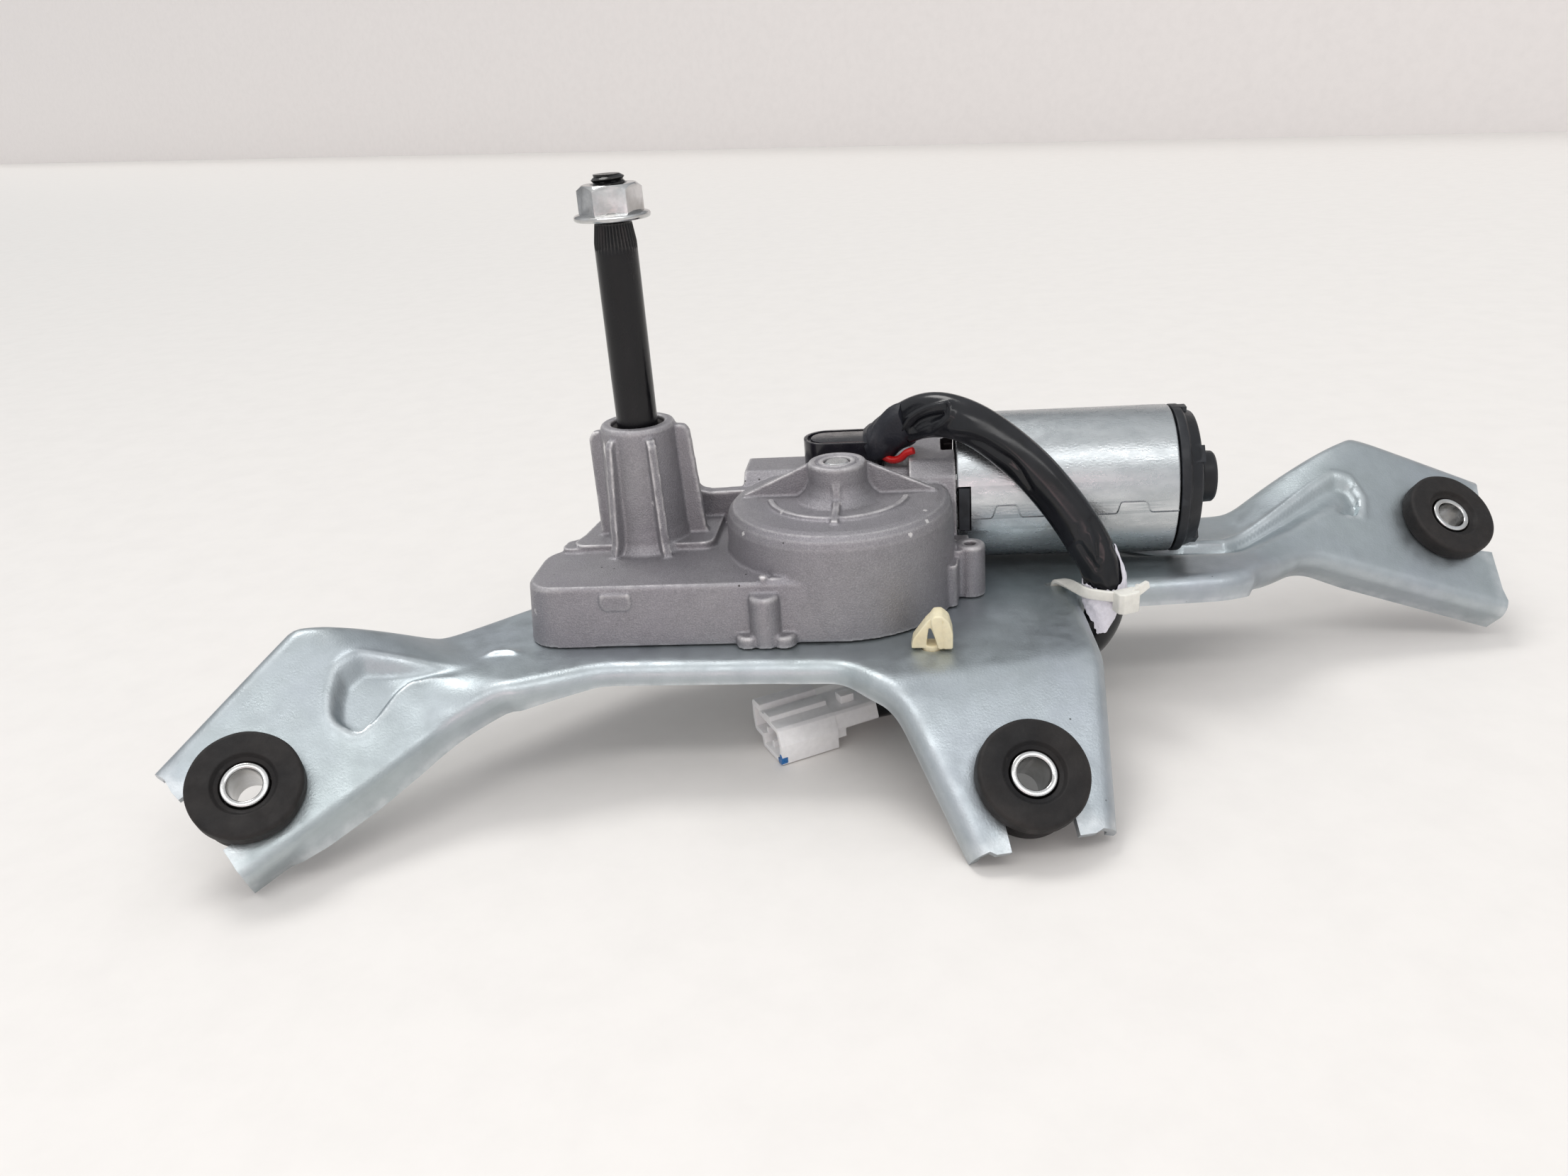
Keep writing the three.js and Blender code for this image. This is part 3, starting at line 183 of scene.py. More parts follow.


# the edge colours below lighten sharp edges, both as wear and as a painted edge highlight
M = {
    "zinc": material("zinc_plate", (0.41, 0.46, 0.475), 0.86, 0.40, tint=(0.36, 0.385, 0.45), tint_scale=24, tint_amount=0.5, rough_var=0.09, rough_scale=190,
                     grain=0.30, grain_scale=2000, edge_wear_and_highlight=(0.80, 0.82, 0.84), edge_wear_and_highlight_amount=0.38, specks=(0.07, 0.075, 0.075), speck_scale=150, speck_size=0.05, dents=0.10, dents_scale=30),
    "cast": material("die_cast", (0.292, 0.285, 0.300), 0.62, 0.45, tint=(0.255, 0.236, 0.275), tint_scale=30, tint_amount=0.5, rough_var=0.12, rough_scale=1400,
                     grain=0.9, grain_scale=3000, edge_wear_and_highlight=(0.80, 0.78, 0.78), edge_wear_and_highlight_amount=0.95, specks=(0.02, 0.018, 0.016), speck_scale=230, speck_size=0.08, dents=0.25, dents_scale=120, mottle=0.20),
    "shaft": material("black_shaft", (0.003, 0.003, 0.004), 0.0, 0.24, spec=0.32, tint=(0.012, 0.011, 0.013), tint_scale=90, tint_amount=0.6, rough_var=0.10, rough_scale=300,
                      grain=0.2, grain_scale=900, edge_wear_and_highlight=(0.10, 0.095, 0.09), edge_wear_and_highlight_amount=0.5, stretch=(1, 1, 0.35)),
    "nut": material("bright_zinc", (0.60, 0.61, 0.62), 1.0, 0.16, tint=(0.34, 0.32, 0.29), tint_scale=190, tint_amount=0.6, rough_var=0.07, grain=0.06, edge_wear_and_highlight=(0.92, 0.92, 0.92), edge_wear_and_highlight_amount=0.5),
    "can": material("galvanized_can", (0.455, 0.485, 0.50), 0.93, 0.29, tint=(0.36, 0.395, 0.42), tint_scale=34, tint_amount=0.45, rough_var=0.08, rough_scale=600,
                    grain=0.36, grain_scale=2200, edge_wear_and_highlight=(0.85, 0.86, 0.87), edge_wear_and_highlight_amount=0.5, specks=(0.12, 0.12, 0.12), speck_scale=110, speck_size=0.03, stretch=(0.5, 1, 1)),
    "blackp": material("black_plastic", (0.005, 0.006, 0.008), 0.0, 0.42, spec=0.35, tint=(0.02, 0.022, 0.028), tint_scale=60, tint_amount=0.5, grain=0.25, grain_scale=900, edge_wear_and_highlight=(0.05, 0.055, 0.065), edge_wear_and_highlight_amount=0.5),
    "cap": material("black_cap", (0.004, 0.004, 0.007), 0.0, 0.25, spec=0.4, tint=(0.02, 0.018, 0.026), tint_scale=70, tint_amount=0.5, grain=0.12, grain_scale=400, coat=0.25),
    "sleeve": material("vinyl_sleeve", (0.0035, 0.004, 0.0055), 0.0, 0.19, spec=0.38, tint=(0.016, 0.017, 0.022), tint_scale=55, tint_amount=0.7, rough_var=0.08, rough_scale=140,
                       grain=0.12, grain_scale=500, specks=(0.10, 0.085, 0.07), speck_scale=240, speck_size=0.035, dents=0.10, dents_scale=150),
    "boot": material("matt_sleeve_end", (0.007, 0.008, 0.013), 0.0, 0.46, spec=0.35, tint=(0.022, 0.023, 0.032), tint_scale=60, tint_amount=0.6, grain=0.5, grain_scale=1600, dents=0.3, dents_scale=170),
    "rubber": material("grommet_rubber", (0.007, 0.007, 0.008), 0.0, 0.62, spec=0.28, tint=(0.026, 0.022, 0.020), tint_scale=60, tint_amount=0.8, rough_var=0.12, rough_scale=200,
                       grain=0.6, grain_scale=1100, edge_wear_and_highlight=(0.045, 0.040, 0.038), edge_wear_and_highlight_amount=0.6, specks=(0.16, 0.15, 0.14), speck_scale=230, speck_size=0.035),
    "white": material("white_plastic", (0.88, 0.88, 0.88), 0.0, 0.40, tint=(0.80, 0.80, 0.83), tint_scale=70, tint_amount=0.4, grain=0.15, grain_scale=300,
                      specks=(0.25, 0.22, 0.2), speck_scale=160, speck_size=0.035, subsurface=0.15),
    "nylon": material("natural_nylon", (0.80, 0.79, 0.74), 0.0, 0.34, tint=(0.66, 0.66, 0.60), tint_scale=90, tint_amount=0.5, grain=0.15, grain_scale=500, subsurface=0.35),
    "cream": material("cream_plastic", (0.84, 0.77, 0.55), 0.0, 0.42, tint=(0.74, 0.62, 0.38), tint_scale=120, tint_amount=0.5, grain=0.3, grain_scale=500, subsurface=0.25),
    "blue": material("blue_paint", (0.005, 0.14, 0.42), 0.0, 0.35, tint_scale=300, grain=0.2),
    "tape": material("white_cloth", (0.84, 0.83, 0.90), 0.0, 0.92, tint=(0.72, 0.70, 0.80), tint_scale=150, tint_amount=0.5, grain=1.0, grain_scale=2600),
    "red": material("red_wire", (0.55, 0.008, 0.008), 0.0, 0.35, tint_scale=200, tint_amount=0.4, grain=0.1, coat=0.2),
    "bronze": material("bronze", (0.46, 0.30, 0.15), 0.9, 0.4, tint_scale=80, grain=0.3),
    "copper": material("copper", (0.60, 0.25, 0.12), 0.95, 0.3, tint_scale=200, grain=0.3, stretch=(1, 3, 3)),
    "steel": material("steel", (0.58, 0.59, 0.60), 0.95, 0.3, tint_scale=90, grain=0.15, edge_wear_and_highlight=(0.8, 0.8, 0.8), edge_wear_and_highlight_amount=0.4),
    "lam": material("laminations", (0.25, 0.25, 0.26), 0.85, 0.45, tint_scale=300, grain=0.5, stretch=(20, 1, 1)),
    "ferrite": material("ferrite", (0.05, 0.05, 0.055), 0.2, 0.6, tint_scale=80, grain=0.4),
    "carbon": material("carbon", (0.03, 0.03, 0.03), 0.1, 0.6, tint_scale=200, grain=0.5),
    "wheel": material("wheel_plastic", (0.78, 0.74, 0.62), 0.0, 0.45, tint_scale=100, tint_amount=0.3, grain=0.2),
    "tin": material("tinned_brass", (0.68, 0.58, 0.36), 0.95, 0.3, tint_scale=200, grain=0.15),
}


# ---------------------------------------------------------------- mesh helpers
def mesh_obj(name, verts, faces, mat=None, local=None):
    """A mesh from plate-frame millimetres; local is a 4x4 that takes its own frame to the plate frame."""
    v = np.asarray(verts, float).reshape(-1, 3)
    if local is not None:
        v = v @ local[:3, :3].T + local[:3, 3]
    me = bpy.data.meshes.new(name)
    me.from_pydata([tuple(p) for p in row(v)], [], [tuple(int(i) for i in f) for f in faces])
    me.validate(); me.update()
    o = bpy.data.objects.new(name, me)
    COL.objects.link(o)
    if mat:
        me.materials.append(M[mat])
    return o


def outward(o):
    """Turn the mesh's faces to point out, going by its signed volume."""
    me = o.data
    me.calc_loop_triangles()
    co = np.empty(len(me.vertices) * 3); me.vertices.foreach_get("co", co); co = co.reshape(-1, 3)
    co = co - co.mean(axis=0)
    t = np.empty(len(me.loop_triangles) * 3, int); me.loop_triangles.foreach_get("vertices", t); t = t.reshape(-1, 3)
    if np.einsum("ij,ij->i", co[t[:, 0]], np.cross(co[t[:, 1]], co[t[:, 2]])).sum() < 0:
        me.flip_normals()
    return o


def bake(o):
    dg = bpy.context.evaluated_depsgraph_get()
    me = bpy.data.meshes.new_from_object(o.evaluated_get(dg), preserve_all_data_layers=False, depsgraph=dg)
    o.modifiers.clear()
    old = o.data
    o.data = me
    bpy.data.meshes.remove(old)
    return o


def kill(*objs):
    for o in objs:
        me = o.data
        bpy.data.objects.remove(o)
        if me and me.users == 0:
            bpy.data.meshes.remove(me)


def boolean(a, tools, op="UNION"):
    for t in tools:
        b = a.modifiers.new("b", "BOOLEAN")
        b.operation, b.object, b.solver = op, t, "MANIFOLD"
    bake(a)
    kill(*tools)
    return a


def bevel(o, width, seg=2, angle=35):
    b = o.modifiers.new("bevel", "BEVEL")
    b.width, b.segments, b.limit_method, b.angle_limit = width * 0.001, seg, "ANGLE", math.radians(angle)
    b.use_clamp_overlap = True
    return bake(o)


def cast_skin(o, voxel=0.5, smooth=3, ratio=None, factor=0.5):
    r = o.modifiers.new("r", "REMESH"); r.mode = "VOXEL"; r.voxel_size = voxel * 0.001
    s = o.modifiers.new("s", "SMOOTH"); s.factor, s.iterations = factor, smooth
    if ratio:
        d = o.modifiers.new("d", "DECIMATE"); d.ratio = ratio
    return bake(o)


def done(o, mat, body="base", replaces=(), smooth=True, angle=32):
    me = o.data
    me.materials.clear(); me.materials.append(M[mat])
    if smooth:
        me.shade_smooth()
        if angle:
            me.set_sharp_from_angle(angle=math.radians(angle))
    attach(o, body)
    if replaces:
        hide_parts(*replaces)
    return o


def fillet(poly, radii, seg=4):
    """Round a 2-D polygon's corners. radii is one number or one per corner."""
    out, n = [], len(poly)
    for i in range(n):
        r = radii[i] if isinstance(radii, (list, tuple)) else radii
        p, a, b = (np.array(poly[k % n], float) for k in (i, i - 1, i + 1))
        u, v = a - p, b - p
        lu, lv = np.linalg.norm(u), np.linalg.norm(v)
        if r <= 0 or lu < 1e-9 or lv < 1e-9:
            out.append(tuple(p)); continue
        u, v = u / lu, v / lv
        half = math.acos(max(-1, min(1, float(u @ v)))) / 2
        if half > 1.52:
            out.append(tuple(p)); continue
        t = min(r / math.tan(half), 0.48 * lu, 0.48 * lv); r = t * math.tan(half)
        c = p + (u + v) / np.linalg.norm(u + v) * (r / math.sin(half))
        s, e = p + u * t - c, p + v * t - c
        a0, a1 = math.atan2(s[1], s[0]), math.atan2(e[1], e[0])
        while a1 - a0 > math.pi: a1 -= 2 * math.pi
        while a1 - a0 < -math.pi: a1 += 2 * math.pi
        for k in range(seg + 1):
            w = a0 + (a1 - a0) * k / seg
            out.append((c[0] + r * math.cos(w), c[1] + r * math.sin(w)))
    return out


def lathe(name, prof, n=64, local=None, wobble=None):
    """Revolve [(r, z)] about Z; a point at r 0 is on the axis. The profile is closed unless it starts and ends on the axis."""
    open_ends = prof[0][0] < 1e-9 and prof[-1][0] < 1e-9
    verts, ids = [], []
    for r, z in prof:
        if r < 1e-9:
            verts.append((0, 0, z)); ids.append([len(verts) - 1] * n)
        else:
            k = len(verts)
            for i in range(n):
                a = 2 * math.pi * i / n
                q = r + (wobble(a, r, z) if wobble else 0)
                verts.append((q * math.cos(a), q * math.sin(a), z))
            ids.append(list(range(k, k + n)))
    faces, m_ = [], len(prof)
    for k in range(m_ - 1 if open_ends else m_):
        A, B = ids[k], ids[(k + 1) % m_]
        for i in range(n):
            j = (i + 1) % n
            f = [A[i], A[j], B[j], B[i]]
            f = [x for q, x in enumerate(f) if x != f[q - 1]]
            if len(f) > 2:
                faces.append(f)
    return outward(mesh_obj(name, verts, faces, local=local))


def prism(name, poly, z0, z1, local=None, top=None):
    n = len(poly)
    t = top or poly
    verts = [(x, y, z0) for x, y in poly] + [(x, y, z1) for x, y in t]
    faces = [list(range(n))[::-1], [n + i for i in range(n)]] + [[i, (i + 1) % n, n + (i + 1) % n, n + i] for i in range(n)]
    return outward(mesh_obj(name, verts, faces, local=local))


def block(name, lo, hi, local=None):
    return prism(name, [(lo[0], lo[1]), (hi[0], lo[1]), (hi[0], hi[1]), (lo[0], hi[1])], lo[2], hi[2], local)


def offset_poly(poly, d):
    """Move a counter-clockwise polygon inwards by d."""
    n, out = len(poly), []
    for i in range(n):
        p, a, b = (np.array(poly[k % n], float) for k in (i, i - 1, i + 1))
        t1, t2 = (p - a) / np.linalg.norm(p - a), (b - p) / np.linalg.norm(b - p)
        q = np.array([-(t1[1] + t2[1]), t1[0] + t2[0]]); q /= np.linalg.norm(q)
        out.append(tuple(p + q * d / max(0.45, float(q @ np.array([-t1[1], t1[0]])))))
    return out


def frame_of(x, y, z, p):
    f = np.eye(4)
    f[:3, 0], f[:3, 1], f[:3, 2], f[:3, 3] = x, y, z, p
    return f


def at(x, y, z=0.0):
    return frame_of([1, 0, 0], [0, 1, 0], [0, 0, 1], [x, y, z])


def along_x(x, y, z):
    """A frame whose Z runs along the world's X."""
    return frame_of([0, 1, 0], [0, 0, 1], [1, 0, 0], [x, y, z])


def catmull(pts, n):
    """Points on a centripetal Catmull-Rom curve, evenly spaced along it."""
    P = np.asarray(pts, float)
    P = np.vstack([2 * P[0] - P[1], P, 2 * P[-1] - P[-2]])
    out = []
    for i in range(1, len(P) - 2):
        p0, p1, p2, p3 = P[i - 1], P[i], P[i + 1], P[i + 2]
        t0 = 0.0
        t1 = t0 + max(1e-6, np.linalg.norm(p1[:3] - p0[:3])) ** 0.5
        t2 = t1 + max(1e-6, np.linalg.norm(p2[:3] - p1[:3])) ** 0.5
        t3 = t2 + max(1e-6, np.linalg.norm(p3[:3] - p2[:3])) ** 0.5
        for t in np.linspace(t1, t2, 24, endpoint=False):
            a1 = (t1 - t) / (t1 - t0) * p0 + (t - t0) / (t1 - t0) * p1
            a2 = (t2 - t) / (t2 - t1) * p1 + (t - t1) / (t2 - t1) * p2
            a3 = (t3 - t) / (t3 - t2) * p2 + (t - t2) / (t3 - t2) * p3
            b1 = (t2 - t) / (t2 - t0) * a1 + (t - t0) / (t2 - t0) * a2
            b2 = (t3 - t) / (t3 - t1) * a2 + (t - t1) / (t3 - t1) * a3
            out.append((t2 - t) / (t2 - t1) * b1 + (t - t1) / (t2 - t1) * b2)
    out.append(P[-2])
    out = np.array(out)
    s = np.r_[0, np.cumsum(np.linalg.norm(np.diff(out[:, :3], axis=0), axis=1))]
    w = np.linspace(0, s[-1], n)
    return np.stack([np.interp(w, s, out[:, k]) for k in range(out.shape[1])], axis=1), s[-1]


def tube(name, path, radius, n=40, up=(0, 0, 1), mat=None, caps=True):
    """A skin round a path; radius(s in mm, angle, share) gives the distance from the centreline."""
    P = np.asarray(path)
    T = np.gradient(P, axis=0); T /= np.linalg.norm(T, axis=1)[:, None]
    s = np.r_[0, np.cumsum(np.linalg.norm(np.diff(P, axis=0), axis=1))]
    u = np.array(up, float); u -= T[0] * (u @ T[0]); u /= np.linalg.norm(u)
    verts, faces = [], []
    for k in range(len(P)):
        u = u - T[k] * (u @ T[k]); u /= np.linalg.norm(u)
        v = np.cross(T[k], u)
        for i in range(n):
            a = 2 * math.pi * i / n
            r = radius(s[k], a, s[k] / s[-1])
            verts.append(P[k] + (u * math.cos(a) + v * math.sin(a)) * r)
    for k in range(len(P) - 1):
        for i in range(n):
            j = (i + 1) % n
            faces.append([k * n + i, k * n + j, (k + 1) * n + j, (k + 1) * n + i])
    if caps:
        faces.append(list(range(n))[::-1]); faces.append([(len(P) - 1) * n + i for i in range(n)])
    return outward(mesh_obj(name, verts, faces, mat))


# ---------------------------------------------------------------- harness sleeve (the cord)
ROUTE = [[63.6, 18.0, 35.0], [67.1, 16.4, 38.2], [72.6, 13.8, 41.1], [78.5, 10.7, 41.6], [85.3, 6.6, 39.8], [92.5, 2.3, 35.2],
         [98.8, -1.0, 30.0], [105.2, -4.0, 22.6], [110.5, -6.8, 15.0], [114.2, -8.8, 7.6], [115.9, -9.8, 1.6],
         [115.3, -10.0, -4.4], [112.9, -9.8, -9.8], [108.8, -9.4, -14.4], [103.3, -8.9, -17.6], [95.0, -8.4, -20.4], [87.0, -8.1, -22.6],
         [79.4, -8.1, -24.4], [72.0, -8.8, -25.4], [63.9, -11.1, -25.6], [56.4, -14.8, -25.4]]
line, cord_mm = catmull(ROUTE, 300)
for _ in range(110):    # ease the bends
    line[1:-1] = 0.5 * line[1:-1] + 0.25 * (line[:-2] + line[2:])
cord_mm = float(np.linalg.norm(np.diff(line, axis=0), axis=1).sum())
_t = np.gradient(line, axis=0); _t /= np.linalg.norm(_t, axis=1)[:, None]
print("tightest bend mm", (cord_mm / 299) / np.linalg.norm(np.gradient(_t, axis=0), axis=1).max(), "length", cord_mm)
TIE_S = cord_mm * np.argmin(np.linalg.norm(line - np.array([115.3, -9.6, 2.6]), axis=1)) / 299


def smooth(a, b, v):
    t = np.clip((v - a) / (b - a), 0, 1)
    return t * t * (3 - 2 * t)


def dent(s, a, s0, a0, ws, wa, depth):
    d = (a - a0 + math.pi) % (2 * math.pi) - math.pi
    return depth * math.exp(-((s - s0) / ws) ** 2 - (d / wa) ** 2)


def crease(s, a, pts, width, h, skew=0.0):
    """Height of a ridge (or valley) that follows points (distance along, angle) over the sleeve."""
    best, side = 1e9, 0
    for (s0, a0), (s1, a1) in zip(pts, pts[1:]):
        ex, ey, px, py = s1 - s0, (a1 - a0) * 4.8, s - s0, ((a - a0 + math.pi) % (2 * math.pi) - math.pi) * 4.8
        t = min(1, max(0, (px * ex + py * ey) / (ex * ex + ey * ey)))
        dd = math.hypot(px - ex * t, py - ey * t)
        best = min(best, dd)
    return h * math.exp(-(best / width) ** 2)


LEAF_UP = [(4.6, 2.3), (6.6, 1.85), (9.2, 1.42), (12.0, 1.12), (15.2, 0.84), (19.6, 0.52)]
LEAF_LOW = [(5.4, 2.55), (10.5, 2.45), (16.2, 2.25), (19.6, 1.70), (21.0, 1.20), (20.6, 0.85), (19.6, 0.52)]
LEAF = [(6.8, 2.25), (8.4, 1.80), (11.4, 1.42), (14.6, 1.16), (18.8, 0.82), (19.8, 1.15), (18.4, 1.60), (15.6, 1.98), (10.5, 2.25)]
LONG_RIDGE = [(22.0, 2.0), (24.5, 1.75), (27.1, 1.42), (31.2, 1.20), (35.3, 1.02), (38.5, 1.05), (44, 1.15), (52, 1.2), (60, 1.1)]
LONG_FOLD = [(24.0, 2.25), (27.5, 1.98), (31.2, 1.72), (35.8, 1.62), (39.5, 1.48), (42.4, 1.56), (47.0, 1.95)]


def in_leaf(s, a):
    ins, best = False, 1e9
    for (s0, a0), (s1, a1) in zip(LEAF, LEAF[1:] + LEAF[:1]):
        if (a0 > a) != (a1 > a) and s < (s1 - s0) * (a - a0) / (a1 - a0) + s0:
            ins = not ins
        ex, ey, px, py = s1 - s0, (a1 - a0) * 4.8, s - s0, (a - a0) * 4.8
        t = min(1, max(0, (px * ex + py * ey) / (ex * ex + ey * ey)))
        best = min(best, math.hypot(px - ex * t, py - ey * t))
    return best if ins else 0.0


def sleeve_radius(s, a, f):
    # angle 0 is up and pi / 2 looks to the viewer's side where the sleeve lies over the motor
    near = math.exp(-((s - TIE_S) / 6.0) ** 2) if s < TIE_S else 1.0
    flat = (0.50 + 0.45 * math.exp(-((s - 13) / 8.0) ** 2)) * (1 - near)
    r = 4.75 * (1 - near) + 4.55 * near - flat * math.cos(2 * (a - 1.17)) + 0.05 * math.sin(5 * a + 0.11 * s)
    if s < 26:
        r += crease(s, a, LEAF_UP, 0.62, 0.62) + crease(s, a, LEAF_LOW, 0.62, 0.62)
        r -= 1.25 * smooth(0.0, 1.5, in_leaf(s, a))
        r -= dent(s, a, 4.4, 2.75, 1.2, 0.5, 1.7)           # pinch over the red lead
    if 18 < s < 64:
        r += crease(s, a, LONG_RIDGE, 1.3, 0.22)
        r -= crease(s, a, LONG_FOLD, 0.95, 0.55)
        r -= dent(s, a, 52.0, 1.9, 10.0, 0.35, 0.5)
    r -= crease(s, a, [(62.0, 0.30), (66.5, 0.45), (70.0, 0.9)], 0.8, 0.45)
    r += crease(s, a, [(64.0, 0.75), (67.5, 0.95), (71.0, 1.15)], 0.7, 0.25)
    r -= crease(s, a, [(65.5, 1.5), (68.5, 1.45), (72.0, 1.25)], 0.8, 0.5)
    if abs(s - TIE_S) < 9:
        w = math.exp(-((s - TIE_S) / 3.6) ** 2)
        r = min(r, 4.9) - w * (0.10 + 0.16 * math.cos(9 * a))
    return r


fine = np.linspace(0, 299, 460)
line_fine = np.stack([np.interp(fine, np.arange(300), line[:, k]) for k in range(3)], axis=1)
sleeve = tube("harness_vinyl_sleeve", line_fine, sleeve_radius, 80)
done(sleeve, "sleeve", replaces=["harness_sleeve"], angle=60)

# ---------------------------------------------------------------- bracket
def axis_of(tilt, az):
    t, a = math.radians(tilt), math.radians(az)
    return np.array([math.sin(t) * math.cos(a), math.sin(t) * math.sin(a), math.cos(t)])


N_SIDE, N_FRONT = axis_of(41, -64), axis_of(41, -75)
SEATS = {
    "left": (np.array([-72.3, -79.6, -6.7]), N_SIDE, np.array([-0.66, -0.70, -0.285])),
    "front": (np.array([93.5, -67.3, -13.3]), N_FRONT, np.array([0.195, -0.729, -0.656])),
    "right": (np.array([213.5, 36.7, 1.3]), N_SIDE, np.array([0.961, 0.180, -0.206])),
}
SCREWS = [[34.7, -31.2], [83.0, -5.2], [-17.2, -25.4], [-8.6, 5.2]]


def plane_z(seat):
    c, n, _ = SEATS[seat]
    p = c - 5 * n
    return lambda x, y: p[2] - (n[0] * (x - p[0]) + n[1] * (y - p[1])) / n[2]


ZL, ZR, ZF = plane_z("left"), plane_z("right"), plane_z("front")


def ramp(t, e=0.1):
    return 0.5 * (np.sqrt(t * t + e * e) - np.sqrt((t - 1) ** 2 + e * e) + 1)


def sdf(poly, x, y):
    """Signed distance to a polygon, negative inside."""
    P = np.array(poly, float); Q = np.roll(P, -1, axis=0)
    x, y = np.atleast_1d(x).astype(float), np.atleast_1d(y).astype(float)
    d = np.full(x.shape, 1e9); ins = np.zeros(x.shape, bool)
    for (ax, ay), (bx, by) in zip(P, Q):
        ex, ey = bx - ax, by - ay
        t = np.clip(((x - ax) * ex + (y - ay) * ey) / (ex * ex + ey * ey), 0, 1)
        d = np.minimum(d, np.hypot(x - ax - t * ex, y - ay - t * ey))
        with np.errstate(divide="ignore", invalid="ignore"):
            ins ^= ((ay > y) != (by > y)) & (x < ex * (y - ay) / (ey if ey else 1e-12) + ax)
    return np.where(ins, -d, d)


def smooth(a, b, v):
    t = np.clip((v - a) / (b - a), 0, 1)
    return t * t * (3 - 2 * t)


POCKET_L = fillet([(-61.6, -55.4), (-61.4, -51.0), (-58.0, -46.6), (-50.9, -44.4), (-45.6, -43.1), (-36.0, -40.5), (-31.0, -40.0), (-31.5, -44.5),
                   (-41.7, -46.3), (-46.2, -48.5), (-48.8, -51.9), (-51.4, -57.0), (-54.8, -61.2), (-60.6, -60.0)], 3.2, 6)
CHANNEL_R = fillet([(120.0, 22.0), (151.0, 23.4), (164.8, 31.5), (177.1, 39.7), (183.6, 43.9), (188.6, 43.2), (190.4, 38.4), (188.2, 34.0), (178.1, 31.6),
                    (171.0, 26.0), (163.0, 18.4), (155.0, 11.6), (148.0, 8.8), (120.0, 9.4)], 3.0, 3)


CREST_R = [(112.0, 22.0), (142.3, 23.2), (151.0, 23.6), (164.8, 31.6), (177.1, 39.8), (183.6, 43.6), (187.8, 43.2), (190.1, 39.4), (189.2, 35.2)]


def skin_z(x, y, beads=True):
    x, y = np.atleast_1d(x).astype(float), np.atleast_1d(y).astype(float)
    z = np.zeros_like(x)
    s, q = -0.874 * x - 0.486 * y, 0.486 * x - 0.874 * y
    sa, sb = 54.6 - 0.26 * (q + 1.5), 82 - 0.83 * (q - 4.4)
    z += np.where(x < 0, ramp((s - sa) / (sb - sa)) * ZL(x, y), 0)
    xb = 172 + 0.515 * (y - 20)
    z += np.where(x > 120, ramp((x - 156) / (xb - 156)) * ZR(x, y), 0)
    f = ZF(x, y)
    z += np.where((x > 40) & (y < -20), 0.5 * (f - np.sqrt(f * f + 9)), 0)
    if beads:
        w = x < -20
        if w.any():
            d = sdf(POCKET_L, x[w], y[w])
            fade = smooth(-33.0, -55.0, x[w])
            z[w] -= 3.3 * fade * smooth(0.5, -2.0, d)
            z[w] += 0.45 * smooth(-40.0, -52.0, x[w]) * np.exp(-((d - 1.2) / 0.9) ** 2)
            u, v = x[w] + 29.0, y[w] + 33.6
            z[w] += 0.9 * np.exp(-(u / 3.8) ** 4 - ((v - 0.12 * u + 0.06 * u * u) / 1.15) ** 2)
        w = x > 110
        if w.any():
            d = sdf(CHANNEL_R, x[w], y[w])
            t = np.full(d.shape, 1e9)      # distance from the crest line
            for (ax, ay), (bx, by) in zip(CREST_R, CREST_R[1:]):
                k = np.clip(((x[w] - ax) * (bx - ax) + (y[w] - ay) * (by - ay)) / ((bx - ax) ** 2 + (by - ay) ** 2), 0, 1)
                t = np.minimum(t, np.hypot(x[w] - ax - k * (bx - ax), y[w] - ay - k * (by - ay)))
            fade = smooth(118, 136, x[w])
            z[w] -= 2.5 * fade * smooth(0.0, 1.9, np.where(d < 0, t, 0)) * (1 - smooth(2.2, 8.0, t)) * smooth(0.0, -1.2, d)
            z[w] += 0.40 * fade * np.exp(-(np.where(d > 0, t - 0.9, -t - 0.9) / 0.7) ** 2)
    return z


def skin_n(x, y, e=0.25):
    x, y = np.atleast_1d(x).astype(float), np.atleast_1d(y).astype(float)
    n = np.stack([-(skin_z(x + e, y) - skin_z(x - e, y)) / (2 * e), -(skin_z(x, y + e) - skin_z(x, y - e)) / (2 * e), np.ones_like(x)], axis=1)
    return n / np.linalg.norm(n, axis=1)[:, None]


def slot_arc(seat, k=18):
    c, n, d = SEATS[seat]
    d = d / np.linalg.norm(d); w = np.cross(n, d); o = c - 5 * n
    out = []
    for i in range(k + 1):
        a = math.pi * i / k
        p = o - w * 7.6 * math.cos(a) - d * 7.6 * math.sin(a)
        out.append((p[0], p[1], 0, 0))
    return out


CORNERS = [
    (-69.8, -91.4, 0, 1), (-36.5, -56.8, 16, 1), (-3, -42.4, 18, 1), (53, -42.8, 9, 1), (66.5, -56.2, 22, 1),
    (80.4, -78.6, 0, 0), (88.1, -76.6, 0, 0), *slot_arc("front"), (102.4, -71.8, 0, 0),
    (110.9, -69.6, 0, 1), (111.6, -40, 30, 1), (109.4, -3.4, 4.2, 1), (150, 0.6, 22, 1), (172.5, 19.0, 14, 1),
    (224.9, 21.6, 0, 0), (224.6, 35.9, 0, 0), *slot_arc("right"), (225.0, 48.0, 0, 0),
    (226.6, 55.4, 0, 1), (190.5, 57.0, 9, 1), (156, 45.0, 20, 1), (100, 44.4, 15, 1), (60, 41, 20, 1), (24, 27, 20, 1),
    (-12.5, 12.3, 14, 1), (-48.6, -24.6, 10, 1), (-74.0, -45.6, 5, 1),
    (-93.4, -78.2, 0, 0), (-86.6, -81.6, 0, 0), *slot_arc("left"), (-75.7, -87.4, 0, 0),
]


